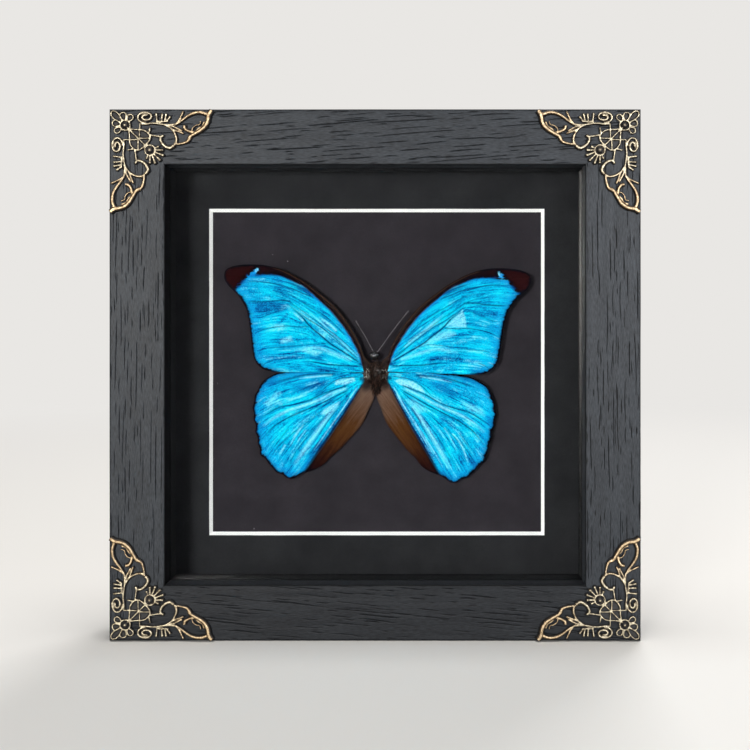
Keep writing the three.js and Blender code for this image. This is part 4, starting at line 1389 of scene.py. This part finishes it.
@dataclass
class Wing:
    """A spread wing: a thin sheet with raised and sunk lines, blue inside its border.

    Attributes:
        side: 1 for a right wing and -1 for a left one.
        x: Place of its hinge across the frame, with z above the frame's middle and depth behind its face.
        turn: Degrees by which it is turned up at the tip.
        rise: How far it comes forward for each millimetre outwards.
        marks: The lines and patches that only this wing has.
    """

    name: str
    plan: WingPlan
    side: int
    x: float
    z: float
    depth: float
    turn: float
    rise: float
    marks: tuple[Stroke, ...]
    seed: int
    fine: float = 0.31
    coarse: float = 1.3
    thick: float = 0.3
    curl: float = 2.3

    @staticmethod
    @functools.cache
    def sheet(
        plan: WingPlan, spacing: float, edge_spacing: float
    ) -> tuple[Array, list[tuple[int, ...]], int]:
        """Fills an outline with even triangles.

        Args:
            plan: The wing's drawing.
            spacing: Distance between two points inside.
            edge_spacing: Distance between two points of the outline.

        Returns:
            The points, outline first, the triangles, and how many points the outline has.
        """
        outline = smooth_path(plan.outline, edge_spacing, closed=True)
        low, high = outline.min(0), outline.max(0)
        rows = np.arange(low[1], high[1], spacing * math.sqrt(3) / 2)
        starts = low[0] + np.arange(len(rows)) % 2 * spacing / 2
        runs = [np.arange(start, high[0], spacing) for start in starts]
        dots = np.concatenate([np.column_stack([run, np.full(len(run), row)]) for run,
            row in zip(runs, rows)])
        dots = dots[inside(dots, outline)]
        clear, _, _ = path_distance(dots, np.vstack([outline, outline[:1]]))
        dots = dots[clear > 0.55 * spacing]
        every = np.vstack([outline, dots])
        count = len(outline)
        dots = [Vector(dot) for dot in every]
        _, _, faces, origins, _, _ = delaunay_2d_cdt(dots, [], [list(range(count))], 1, 1e-6)
        return every, [tuple(origins[corner][0] for corner in face) for face in faces], count

    def flow(self, points: Array) -> Array:
        """The direction in which the scales lie at each point, led by the veins nearby."""
        pull = np.zeros_like(points)
        for vein in self.plan.veins:
            path = np.asarray(vein.points, float)
            for start, end in zip(path[:-1], path[1:]):
                step = end - start
                middle = (start + end) / 2
                near = 1 / (np.sum((points - middle) ** 2, axis=1) + 4)
                pull += near[:, None] ** 1.5 * step
        return pull / np.linalg.norm(pull, axis=1)[:, None]

    def streaks(self, points: Array, reach: float, grain: float, seed: int) -> Array:
        """Random streaks that follow the scales.

        Args:
            points: Where to work them out.
            reach: Half of a streak's length.
            grain: A streak's width.
            seed: Picks the pattern.

        Returns:
            A value around 0 for each point, mostly within -1 and 1.
        """
        course = self.flow(points)
        total = np.zeros(len(points))
        steps = np.linspace(-reach, reach, 13)
        for step in steps:
            total += value_noise(*((points + step * course + 200) / grain).T, seed)
        return np.clip(total / len(steps) * 3.2, -1.4, 1.4)

    def marked(self, points: Array, streak: Array, fleck: Array) -> Array:
        """How strongly each kind of mark shows at each point, one column for each kind."""
        tone = np.zeros((len(points), len(Mark)))
        for mark in (*self.plan.veins, *self.marks):
            if isinstance(mark, Patch):
                path = np.asarray(mark.points, float)
                distance, _, _ = path_distance(points, np.vstack([path, path[:1]]))
                ragged = np.where(inside(points, path), distance, -distance) + 0.5 * mark.width * streak
                show = smoothstep(-mark.width, mark.width, ragged)
            else:
                distance, share, _ = path_distance(points, smooth_path(mark.points, 1.2))
                taper = smoothstep(0, 0.06, share) * (1 - 0.7 * smoothstep(0.75, 1, share))
                ragged = np.clip(distance + 0.12 * mark.width * fleck, 0, None)
                show = np.exp(-((ragged / (0.5 * mark.width)) ** 2)) * taper
            if mark.mark is PALE:
                show = show * np.clip(0.75 + 0.45 * fleck + 0.3 * streak, 0.25, 1)
            channel = mark.mark.value
            tone[:, channel] = np.maximum(tone[:, channel], mark.strength * show)
        return tone

    def build(self) -> Object:
        """Builds the wing and lays it in its place."""
        edge_step = 0.4
        front, front_faces, count = self.sheet(self.plan, self.fine, edge_step)
        under, under_faces, _ = self.sheet(self.plan, self.coarse, edge_step)
        streak = self.streaks(front, 3.6, 0.42, self.seed)
        broad = self.streaks(front, 7.0, 2.2, self.seed + 1)
        fleck = self.patchy(front, 0.5, 7)
        tone = self.marked(front, streak, fleck)
        # Painted shade and painted highlight along the streaks, added to the deep and pale marks.
        dark = 0.65 * smoothstep(0.05, 1.2, -0.55 * broad - 0.7 * streak)
        light = 0.5 * smoothstep(0.35, 1.3, 0.5 * broad + 0.7 * streak + 0.3 * fleck)
        for mark, values in ((DEEP, dark), (PALE, light)):
            tone[:, mark.value] = np.maximum(tone[:, mark.value], values)
        distance = path_distance(front, np.vstack([front[:count], front[:1]]))[0]
        beyond, share = self.beyond(front)
        rim, ripe, navy = self.border(front, distance, beyond, share, streak)
        top = self.place(front, self.dropped(beyond) - self.wave(front) - self.relief(tone, streak, broad))
        tone[:, VEIN.value] = np.maximum(tone[:, VEIN.value], navy)
        low = self.place(under, self.dropped(self.beyond(under)[0]) - self.wave(under) + self.thick)
        low[:count, 1] = top[:count, 1] + self.thick
        offset = len(top)
        faces = list(front_faces)
        faces += [tuple(c + offset for c in reversed(face)) for face in under_faces]
        faces += [(i, i + offset, (i + 1) % count + offset, (i + 1) % count) for i in range(count)]
        piece = finished(self.name, mesh_of(np.vstack([top, low]), faces), [SCALES, UNDERSIDE], sharp=80)
        order = np.arange(len(faces))
        pick_slots(piece, (order >= len(front_faces)) & (order < len(front_faces) + len(under_faces)))
        opaque = np.ones(len(front))
        shown = {"tone": np.column_stack([tone, opaque]), "rim": np.column_stack([rim, opaque])}
        for key, values in {**shown, "streak": streak, "ripe": ripe}.items():
            store(piece, key, np.concatenate([values, np.zeros((len(under), *values.shape[1:]))]))
        return settle(piece, "dried_butterfly", "butterfly")

    def beyond(self, points: Array) -> tuple[Array, Array]:
        """Measures points against the inner or front edge of the blue field.

        Args:
            points: Points out from and above the hinge.

        Returns:
            How far each lies outside the field, and how far along its edge.
        """
        gap, share, side = path_distance(points, smooth_path(self.plan.blue_edge, 1.2))
        outside = gap * side * self.plan.edge_side
        for path, half_width in self.plan.fingers:
            near, _, _ = path_distance(points, np.asarray(path, float))
            outside = np.minimum(outside, near - half_width)
        return outside, share

    def dropped(self, beyond: Array) -> Array:
        """How far the sheet drops back: the inner fold of a hind wing curls away behind the body."""
        if self.plan is FORE_PLAN:
            return np.zeros(len(beyond))
        return self.curl * (1 - np.exp(-((np.clip(beyond, 0, None) / 4.5) ** 1.6)))

    def patchy(self, points: Array, size: float, layer: int) -> Array:
        """Smooth noise over the wing, by the size of its spots in millimetres and the number of its layer."""
        x, y = (points.T + 90) / size
        return value_noise(x, y, self.seed + layer)

    def wave(self, points: Array) -> Array:
        """The slow wave of a dried wing."""
        return 0.22 * self.patchy(points, 13, 3)

    def relief(self, tone: Array, streak: Array, broad: Array) -> Array:
        """How far the front stands forward of the wave at each point: sunk veins and raised folds."""
        folds = 0.09 * tone[:, PALE.value] - 0.05 * tone[:, DEEP.value] - 0.1 * tone[:, VEIN.value]
        return np.clip(folds + 0.12 * broad + 0.035 * streak, -0.22, 0.4)

    def border(
        self, points: Array, edge: Array, beyond: Array, share: Array, streak: Array
    ) -> tuple[Array, Array, Array]:
        """Works out the border of the wing.

        Args:
            points: The wing's points.
            edge: Distance of each from the outline.
            beyond: How far each lies outside the blue field.
            share: How far along the edge of the blue field each lies.
            streak: The random streaks.

        Returns:
            How black, brown and azure each point is, with painted shade in the black of a hind wing's fold,
            how far its brown has gone from grey to maroon, and how navy its blue is.
        """
        outer = smoothstep(self.plan.margin_from - 6, self.plan.margin_from + 3, points[:, 0])
        ragged = 0.5 * self.patchy(points, 1.1, 5)
        line = 0.3 + outer * (0.6 + 0.6 * np.clip(streak, -0.4, 1.2))
        black = (0.3 + 0.7 * outer) * (1 - smoothstep(0.75, 1.25, edge / line))
        navy = 0.9 * outer * np.exp(-((edge / (1.5 + 0.9 * np.clip(streak, -1, 1))) ** 2))
        violet = 0.8 * outer * np.exp(-((edge / 4.5) ** 1.3)) * np.clip(0.8 + 0.4 * streak, 0, 1)
        if self.plan is FORE_PLAN:
            apex = smoothstep(40, 60, points[:, 0])
            band = smoothstep(-0.3, 0.3, beyond + ragged * (0.4 + apex) + (0.1 + 0.9 * apex) * streak)
            within = np.clip(-beyond, 0, None)
            violet = np.maximum(violet, 0.9 * np.exp(-((within / (1.3 + apex)) ** 1.2)))
            fade = 0.55 + 0.5 * apex + 0.3 * np.clip(streak, -1, 1)
            navy = np.maximum(navy, 0.95 * np.exp(-((within / fade) ** 2)))
            for path, half_width in self.plan.fingers:
                near, _, _ = path_distance(points, np.asarray(path, float))
                navy *= smoothstep(half_width, 2.5 * half_width, near)
            inner = smoothstep(0.2, 2.0, beyond) * (0.12 + 0.7 * apex)
            hair = 0.42 * np.exp(-(((edge - 0.6) / 0.25) ** 2)) * smoothstep(0.4, 1.0, beyond)
            hair *= 1 - smoothstep(44, 50, points[:, 0])
            black = np.maximum(black, band * (1 - np.maximum(inner, hair)))
            ripe = np.where(hair > inner, 0.3, smoothstep(8, 46, points[:, 0]))
            return np.column_stack([black, band, violet * (1 - band)]), ripe, navy
        brown = smoothstep(-0.25, 0.5, beyond)
        # Painted shade on the brown fold: a black crease where it turns back from the blue, a dark root under
        # the fur, and darker towards the outline and the tip.
        crease_shade = np.exp(-((beyond / 0.55) ** 2))
        black = np.maximum(black * (1 - brown), 0.85 * crease_shade)
        root = 0.85 * (1 - smoothstep(2.0, 6.5, np.linalg.norm(points - [0.5, -1.0], axis=1)))
        shade = 0.45 * (1 - smoothstep(0, 1.5, edge)) + 0.5 * np.exp(-((beyond / 1.7) ** 2))
        shade += 0.4 * smoothstep(0.55, 1, share) + 0.15 * streak
        black = np.maximum(black, brown * np.clip(np.maximum(shade, root), 0, 1))
        ripe = np.clip(1.05 * share + 0.1 * streak, 0, 0.9)
        return np.column_stack([black, brown, violet * (1 - brown)]), ripe, navy

    def place(self, points: Array, back: Array) -> Array:
        """Lays flat wing points in the frame.

        Args:
            points: Points out from and above the hinge.
            back: How far each lies behind the wing's own plane.

        Returns:
            The points in the frame, in millimetres.
        """
        angle, (x, z) = math.radians(self.turn), points.T
        out = x * math.cos(angle) - z * math.sin(angle)
        up = x * math.sin(angle) + z * math.cos(angle)
        y = SIZES.face + self.depth + back - self.rise * x
        return np.stack([self.x + self.side * out, y, self.z + up + SIZES.middle], 1)


SIZES = BoxFrame()
# Each wing's deep marks are painted shade and its pale marks painted highlight, apart from the white tip of
# each forewing's finger.
WINGS = (
    Wing(
        "forewing_right", FORE_PLAN, 1, 4.7, 2.8, 20.2, -1.15, 0.012,
        (
            Patch(PALE, 0.5, 0.75, ((28.6, 20.6), (31.5, 23.4), (36.5, 28.9), (38, 24), (38.5, 20.4))),
            Patch(PALE, 1.2, 0.55, ((19, 12.6), (25, 17), (30, 18.4), (33, 16.8), (28, 14.4))),
            Patch(DEEP, 1.0, 0.75, ((41.7, 28.2), (47, 29.4), (53.5, 28.4), (54, 25.4), (47, 25.8),
                (42.4, 26.2))),
            Stroke(PALE, 1.2, 0.7, ((10.6, 12.2), (18, 18), (25.2, 23.5))),
            Stroke(PALE, 0.9, 0.8, ((27.5, 38.2), (31.1, 40.8), (35.2, 42.3))),
            Patch(PALE, 0.35, 1.0, ((52.7, 46.2), (54.3, 45.8), (54.6, 47.3), (52.9, 47.9))),
        ),
        seed=21,
    ),
    Wing(
        "forewing_left", FORE_PLAN, -1, -5.9, 2.4, 20.2, 1.15, 0.012,
        (
            Patch(DEEP, 1.2, 0.85, ((37.6, 30.6), (46, 31.6), (53.5, 30.4), (55, 26.5), (48.5, 25.2),
                (42, 26.4), (38.4, 27.4))),
            Stroke(PALE, 1.1, 0.85, ((14, 17.6), (17.5, 20.7), (22.5, 24))),
            Stroke(PALE, 0.9, 0.8, ((30.2, 22.2), (33.3, 24.8), (35.2, 26.4))),
            Patch(PALE, 0.9, 0.6, ((35.5, 12.6), (36.5, 14.6), (41.2, 13), (41, 11.4))),
            Patch(PALE, 1.1, 0.6, ((21, 7.6), (29, 9.4), (31, 8), (24, 5.6))),
            Stroke(PALE, 1.0, 0.6, ((28.4, 39.0), (32, 41.3), (36, 42.6))),
            Stroke(DEEP, 1.6, 0.7, ((38, 26), (41, 22), (44, 20.4))),
            Patch(PALE, 0.35, 1.0, ((52.7, 46.2), (54.3, 45.8), (54.6, 47.3), (52.9, 47.9))),
        ),
        seed=22,
    ),
    Wing(
        "hindwing_right", HIND_PLAN, 1, 3.5, -2.9, 21.1, -2.1, 0.006,
        (
            Patch(PALE, 0.45, 1.0, ((5.2, -0.6), (7.7, 0.1), (13.9, -0.9), (18.2, -3.6), (20.4, -6.2),
                (14.9, -4.5), (8.2, -2.7))),
            Patch(PALE, 1.6, 0.5, ((11.4, -10.2), (15, -9.9), (21.5, -14.6), (17.5, -15.6))),
            Patch(DEEP, 1.4, 0.7, ((22.9, -0.6), (30, -1.4), (38.6, -6.6), (33, -8), (26, -4.6))),
            Stroke(PALE, 0.55, 0.85, ((5.8, -6.2), (11.1, -14.4), (16.3, -21.6), (21.6, -29), (26.8, -36.4),
                (30, -42))),
            Stroke(PALE, 0.7, 0.85, ((33.9, -25.2), (37.4, -28.8), (40, -33.3), (42.3, -39))),
            Patch(PALE, 1.2, 0.45, ((38, -9.6), (48, -13), (49.6, -16), (42, -13.4))),
            Stroke(DEEP, 1.8, 0.55, ((27, -17.5), (34, -22), (40, -27))),
        ),
        seed=23,
    ),
    Wing(
        "hindwing_left", HIND_PLAN, -1, -4.9, -3.5, 21.1, 2.1, 0.006,
        (
            Patch(PALE, 0.5, 0.95, ((15.6, -2.6), (15, -0.9), (6.7, 1.0), (5.8, -0.5), (10.7, -2.6))),
            Patch(PALE, 0.6, 0.9, ((13, -10.9), (13.8, -12.8), (19.5, -17.6), (22, -17.3), (20, -14.9))),
            Patch(DEEP, 1.6, 0.85, ((18.6, -1.0), (27, -0.8), (36.4, -4), (37, -7.4), (30, -6.6),
                (22, -4.4))),
            Patch(PALE, 1.3, 0.5, ((41.8, -7.6), (44, -7.8), (49.6, -13.2), (47.6, -15))),
            Stroke(PALE, 0.7, 0.7, ((31.4, -24.1), (33.2, -26.8), (35.1, -29.4))),
            Stroke(PALE, 0.6, 0.6, ((28.8, -25.2), (31.6, -29.4), (33, -32))),
            Stroke(PALE, 0.8, 0.6, ((38.7, -32.9), (40, -35.4), (41.5, -38))),
            Stroke(DEEP, 2.4, 0.5, ((30, -36), (34, -41), (38, -45))),
        ),
        seed=24,
    ),
)


@dataclass(frozen=True)
class Lobe:
    """An ellipsoid of the body: its middle, by x, z above the frame's middle and depth, and its size."""

    x: float
    z: float
    depth: float
    width: float
    thick: float
    length: float

    def add_to(self, shell: BMesh, level: int = 4) -> None:
        """Adds the lobe to a mesh in the making, in millimetres."""
        place = Matrix.Translation((self.x, SIZES.face + self.depth, self.z + SIZES.middle))
        size = Matrix.Diagonal((self.width / 2, self.thick / 2, self.length / 2, 1))
        bmesh.ops.create_icosphere(shell, subdivisions=level, radius=1, matrix=place @ size)


@dataclass(frozen=True)
class HairCoat:
    """A coat of tapering hairs: how many stand on a square millimetre, how combed and how wild they are."""

    name: str
    finish: Finish
    density: float
    length: float
    thick: float
    comb: tuple[float, float, float]
    stand: float
    wild: float
    seed: int

    @staticmethod
    @functools.cache
    def tree() -> NodeTree:
        """The node tree that plants tapering hairs on a mesh."""
        sizes = dict.fromkeys(("Density", "Hair Length", "Hair Radius", "Stand", "Wildness"), Socket.SIZE)
        tree, add, take = tree_with("planted_hairs", {**sizes, "Comb": Socket.DIRECTION,
            "Seed": Socket.COUNT})
        seed = {"Seed": take["Seed"]}
        skin = {"Mesh": take["Geometry"], "Density": take["Density"]}
        roots = add("GeometryNodeDistributePointsOnFaces", skin | seed).outputs
        stand = add("VectorMath", {"Vector": roots["Normal"], "Scale": take["Stand"]}, operation="SCALE")
        either_way = {"Min": (-1, -1, -1), "Max": (1, 1, 1)}
        stray = add("FunctionNodeRandomValue", either_way | seed, data_type="FLOAT_VECTOR").outputs[0]
        wild = add("VectorMath", {"Vector": stray, "Scale": take["Wildness"]}, operation="SCALE")
        lean = add("VectorMath", {0: stand, 1: take["Comb"]}, operation="ADD")
        lean = add("VectorMath", {0: lean, 1: wild}, operation="ADD")
        facing = add("FunctionNodeAlignRotationToVector", {"Vector": lean}, axis="Z")
        spread = add("FunctionNodeRandomValue", {"Min": 0.55, "Max": 1.25} | seed,
            data_type="FLOAT").outputs[1]
        cone = {"Vertices": 3, "Radius Top": 0.0, "Radius Bottom": take["Hair Radius"],
            "Depth": take["Hair Length"]}
        hair = add("GeometryNodeMeshCone", cone, fill_type="TRIANGLE_FAN")
        planting = {"Points": roots["Points"], "Instance": hair, "Rotation": facing, "Scale": spread}
        end_tree(add, take, add("GeometryNodeInstanceOnPoints", planting))
        return tree

    def grow_on(self, skin: Mesh) -> None:
        """Grows the coat on a skin mesh, in millimetres."""
        values = {
            "Density": self.density, "Hair Length": self.length, "Hair Radius": self.thick / 2,
            "Stand": self.stand, "Wildness": self.wild, "Comb": self.comb, "Seed": self.seed,
        }
        mesh = grow(self.name, skin, self.tree(), self.finish, values)
        settle(finished(self.name, mesh, [self.finish], sharp=40, scale=MM), "dried_butterfly", "butterfly")


@dataclass
class InsectBody:
    """The body between the wings: a furry thorax, a short abdomen, a head with eyes, and two feelers."""

    thorax: Lobe = Lobe(-0.4, 0.0, 21.5, 6.8, 6.0, 11.4)
    head: Lobe = Lobe(-1.4, 8.3, 20.9, 4.5, 3.9, 4.5)
    abdomen: Lobe = Lobe(-0.5, -6.2, 22.6, 3.8, 3.2, 8)
    crown: Lobe = Lobe(-1.4, 8.2, 21.7, 4.4, 2.2, 4.4)
    eye_size: float = 2.5
    eye_apart: float = 1.3
    feelers: tuple[tuple[tuple[float, float, float], ...], ...] = (
        ((-1.6, 10, 20.4), (-3.4, 13.4, 20.2), (-5.6, 17.6, 20.2), (-8.2, 21.8, 20.4), (-10.4, 25.6, 20.6)),
        ((0, 10, 20.4), (2.8, 13.8, 20.2), (5.8, 18, 20.2), (10.4, 24.2, 20.3), (15.4, 30.4, 20.6)),
    )
    feeler_thick: float = 0.34
    club_thick: float = 0.62

    def skin(self, name: str, lobes: Iterable[Lobe], rough: float = 0.0) -> Mesh:
        """Makes lobes into one uneven skin, in millimetres."""
        shell = bmesh.new()
        for lobe in lobes:
            lobe.add_to(shell)
        for corner in shell.verts:
            x, y, z = corner.co
            swell = value_noise(np.array([(x + 50) / 1.3]), np.array([(z + y * 0.7) / 1.3]), 31)[0]
            corner.co += corner.normal * rough * swell
        mesh = bpy.data.meshes.new(name)
        shell.to_mesh(mesh)
        shell.free()
        return mesh

    def feeler_lines(self) -> Iterable[tuple[Array, Array]]:
        """Draws both feelers, ringed along their length and thicker at the tip."""
        for route in self.feelers:
            x, z, depth = smooth_path(route, 0.35).T
            share = np.linspace(0, 1, len(x))
            club = smoothstep(0.82, 0.95, share) * (1 - smoothstep(0.985, 1.0, share))
            radius = (self.feeler_thick + (self.club_thick - self.feeler_thick) * club) / 2
            radius *= 1 + 0.12 * np.cos(np.arange(len(x)) * math.pi)
            yield np.column_stack([x, SIZES.face + depth, z + SIZES.middle]), radius

    def build(self) -> None:
        """Builds the body with its fur, head, eyes and feelers."""
        size, sides = self.eye_size, (-1, 1)
        eyes = [
            Lobe(
                self.head.x + side * self.eye_apart, self.head.z + 0.5, self.head.depth - 0.6, size, size, size
            )
            for side in sides
        ]
        # Pale tufts and dark hairs cover the roots of the wings.
        tufts = [Lobe(side * 4.1 - 0.5, z, 19.7, 1.3, 0.8, 1.7) for side in sides for z in (-1.4, 1.6)]
        roots = [Lobe(side * 3.1 - 0.5, z, 20.6, 1.8, 1.2, 3.4) for side in sides for z in (-3.0, 3.2)]
        trunk = self.skin("trunk", [self.thorax, self.abdomen], 0.16)
        for name, mesh, finish in (
            ("thorax_and_abdomen", trunk.copy(), BODY_SKIN),
            ("head", self.skin("head", [self.head], 0.08), EYE),
            ("eyes", self.skin("eyes", eyes), EYE),
            ("feelers", rods("feelers", self.feeler_lines(), FEELER), FEELER),
        ):
            settle(finished(name, mesh, [finish], sharp=80, scale=MM), "dried_butterfly", "butterfly")
        HairCoat("body_fur", BODY_HAIR, 13, 2.0, 0.13, (0, -0.15, -0.9), 0.55, 0.6, 41).grow_on(trunk.copy())
        HairCoat("light_fur", BROWN_HAIR, 1.6, 2.4, 0.16, (0, -0.2, -0.9), 0.5, 0.8, 44).grow_on(trunk.copy())
        cap, tuft, root = (self.skin("roots", lobes) for lobes in ([self.crown], tufts, roots))
        HairCoat("head_hairs", BROWN_HAIR, 3, 0.7, 0.12, (0, 0.1, 0.1), 0.9, 0.4, 42).grow_on(cap)
        HairCoat("pale_wing_tufts", PALE_HAIR, 2.6, 2.3, 0.13, (0, -0.3, -0.7), 0.5, 0.8, 43).grow_on(tuft)
        HairCoat("wing_root_fur", BODY_HAIR, 5, 2.4, 0.13, (0, -0.2, -0.6), 0.8, 0.8, 45).grow_on(root)


# ---- back ----
@dataclass
class Hanger:
    """The nails of the sawtooth hanger: round heads, slightly domed."""

    sides: int = 28
    shank: float = 0.7
    head: float = 1.9
    head_thick: float = 0.8
    point: float = 1.5

    def build(self) -> None:
        """Turns each nail about its own axis, in the place of its solid."""
        for number in (1, 2):
            node = f"hanger_nail_{number}"
            low, high = box_mm(node)
            (x, _, z), top, tip = (low + high) / 2, high[1], low[1]
            under = top - self.head_thick
            profile = (
                (self.shank, tip + self.point), (self.shank, under), (self.head, under),
                    (self.head, under + 0.25),
                (self.head - 0.18, under + 0.55), (self.head * 0.55, top - 0.06),
            )
            angles = np.arange(self.sides) * 2 * math.pi / self.sides
            points = [(x, tip, z)]
            for radius, y in profile:
                points += [(x + radius * math.cos(a), y, z + radius * math.sin(a)) for a in angles]
            points.append((x, top, z))
            ring = np.arange(self.sides)
            after = np.roll(ring, -1)
            end = len(points) - 1
            tip_fan = np.stack([np.zeros_like(ring), after + 1, ring + 1], 1)
            rim = end - self.sides
            top_fan = np.stack([ring + rim, after + rim, np.full_like(ring, end)], 1)
            walls = rounds(len(profile), self.sides) + 1
            faces = [*walls.tolist(), *tip_fan.tolist(), *top_fan.tolist()]
            mesh = mesh_of(np.array(points, float), faces)
            piece = finished(f"domed_nail_{number}", mesh, [PLATED_STEEL], sharp=35)
            settle(piece, "plated_steel", node)


def dress_solids() -> None:
    """Gives every solid that stays in view its finish."""
    dress("glass_pane", GLASS)
    dress("backing_card", DARK_CARD)
    dress("back_panel", HARDBOARD)
    dress("sawtooth_hanger", PLATED_STEEL)
    for side in Side:
        name = side.name.lower()
        # The top spacer takes the lighter board, painted light where it sits in shade.
        dress(f"{name}_spacer", TOP_SPACER_PAINTED_LIGHT if side is Side.TOP else SPACER_BOARD)
        for number in (1, 2):
            dress(f"{name}_retaining_tab_{number}", SPRING_STEEL)


# ---- studio ----
@dataclass(frozen=True)
class Lamp:
    """A soft lamp: its direction from the frame's middle, distance, size and brightness."""

    name: str
    azimuth: float
    elevation: float
    distance: float
    width: float
    height: float
    power: float
    colour: str = "#ffffff"
    lights_matt: bool = True

    def build(self, target: Vector) -> None:
        """Hangs the lamp and points it at the target. It stays out of sight itself."""
        light = bpy.data.lights.new(self.name, "AREA")
        light.shape = "RECTANGLE"
        light.size, light.size_y = self.width, self.height
        light.energy = self.power
        light.color = linear(self.colour)[:3]
        lamp = put(self.name, light)
        side, up = math.radians(self.azimuth), math.radians(self.elevation)
        away = Vector((math.sin(side) * math.cos(up), -math.cos(side) * math.cos(up), math.sin(up)))
        lamp.location = target + away * self.distance
        lamp.rotation_euler = (-away).to_track_quat("-Z", "Y").to_euler()
        lamp.visible_camera = False
        lamp.visible_diffuse = self.lights_matt


@dataclass
class Studio:
    """A pale floor under soft light, with the camera level in front of the frame."""

    camera_at: tuple[float, float, float] = (24.4, -517.0, 149.4)
    lens: float = 51.08
    sensor: float = 36.0
    shift: tuple[float, float] = (-0.0693, -0.0693)
    floor_size: float = 14.0
    floor_colour: str = "#e8e5e0"
    pale: str = "#e9e7e4"
    lamps: tuple[Lamp, ...] = (
        Lamp("key_lamp", -21.5, 4, 4.0, 0.9, 0.5, 158, "#fffdf9"),
        Lamp("right_lamp", 42, 12, 3.5, 1.4, 1.0, 10, "#f6f9ff"),
        Lamp("right_sheen", 27, 5, 3.2, 0.9, 0.9, 150, "#f6f9ff", lights_matt=False),
        Lamp("top_lamp", 4, 85, 2.6, 1.6, 1.2, 50),
        Lamp("back_lamp", 160, 35, 4.0, 2.0, 1.5, 90),
    )

    def floor(self) -> None:
        """Lays the floor, which fades into the pale backdrop further off."""
        half = self.floor_size / 2
        mesh = bpy.data.meshes.new("floor")
        corners = [(-half, -half, 0), (half, -half, 0), (half, half, 0), (-half, half, 0)]
        mesh.from_pydata(corners, [], [(0, 1, 2, 3)])
        material = bpy.data.materials.new("pale_floor_paint")
        add = fresh(material)
        cover = {"Base Color": self.floor_colour, "Roughness": 0.7, "Specular IOR Level": 0.2}
        paint = add("BsdfPrincipled", cover)
        haze = add("Emission", {"Color": self.pale, "Strength": 1.0})
        place = add("TexCoord").outputs["Object"]
        away = add("VectorMath", {0: place}, operation="LENGTH").outputs["Value"]
        far = add("MapRange", {0: away, 1: 0.3, 2: 1.5}, interpolation_type="SMOOTHSTEP")
        seen = add("LightPath").outputs["Is Camera Ray"]
        share = add("Math", {0: far, 1: seen}, operation="MULTIPLY")
        add("OutputMaterial", {"Surface": add("MixShader", {0: share, 1: paint, 2: haze})})
        mesh.materials.append(material)
        floor = put("floor", mesh)
        floor.visible_glossy = False
        floor.visible_transmission = False
        floor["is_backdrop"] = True

    def sky(self) -> None:
        """Lights the room: pale to look at, soft from the sides and above, and dark in front of the glass."""
        world = bpy.data.worlds.new("studio")
        bpy.context.scene.world = world
        add = fresh(world)
        way = add("TexCoord").outputs["Generated"]
        parts = add("SeparateXYZ", {"Vector": way}).outputs
        ahead = add("Math", {0: parts["Y"], 1: -1.0}, operation="MULTIPLY")
        # The glass mirrors what lies within about 25 degrees of straight ahead.
        side = add("MapRange", {0: ahead, 1: 0.93, 2: 0.75}, interpolation_type="SMOOTHSTEP")
        above = add("MapRange", {0: parts["Z"], 1: -0.2, 2: 0.8, 3: 0.6, 4: 1.3})
        glow = add("Math", {0: side, 1: above}, operation="MULTIPLY")
        strength = add("Math", {0: glow, 1: 0.06, 2: 0.006}, operation="MULTIPLY_ADD")
        room = add("Background", {"Color": "#f4f6fa", "Strength": strength})
        seen = add("Background", {"Color": self.pale, "Strength": 1.0})
        ray = add("LightPath").outputs["Is Camera Ray"]
        add("OutputWorld", {"Surface": add("MixShader", {0: ray, 1: room, 2: seen})})

    def camera(self) -> None:
        """Sets the camera, level and square to the frame, a little right of and above its middle."""
        data = bpy.data.cameras.new("camera")
        data.lens, data.sensor_width = self.lens, self.sensor
        data.shift_x, data.shift_y = self.shift
        data.clip_start, data.clip_end = 0.01, 50
        camera = put("camera", data)
        camera.location = Vector(self.camera_at) * MM
        camera.rotation_euler = (math.pi / 2, 0, 0)
        bpy.context.scene.camera = camera

    def build(self) -> None:
        """Sets up floor, light and camera."""
        bpy.context.scene.view_settings.view_transform = "Standard"
        self.floor()
        self.sky()
        target = Vector((0, 0, SIZES.middle * MM))
        for lamp in self.lamps:
            lamp.build(target)
        self.camera()


def write_sizes() -> None:
    """Works out the box of the solids and the box of the finished pieces as plain lists, and keeps neither."""
    boxes = {"cad": CAD_BOX, "visual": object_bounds()}
    {name: [list(corner) for corner in box] for name, box in boxes.items()}


def main() -> None:
    """Builds the pieces in order."""
    logging.basicConfig(level=logging.INFO, format="%(message)s")
    Studio().build()
    dress_solids()
    # The bottom rail's darker oak is painted shade.
    Rail(SIZES, Side.BOTTOM, slope=-0.1, seed=3, finish=SHADED_BOTTOM_OAK, lip_finish=SHADED_BOTTOM_OAK).build()
    Rail(SIZES, Side.RIGHT, slope=0.01, seed=4).build()
    Rail(SIZES, Side.TOP, slope=0.075, seed=5).build()
    # The left rail's wall above the glass takes the black spacer board: painted shade.
    Rail(SIZES, Side.LEFT, slope=-0.015, seed=6, lip_finish=SPACER_BOARD).build()
    WindowMount(SIZES).build()
    Filigree(SIZES).build()
    for wing in WINGS:
        wing.build()
    InsectBody().build()
    Hanger().build()
    write_sizes()


if __name__ == "__main__":
    main()
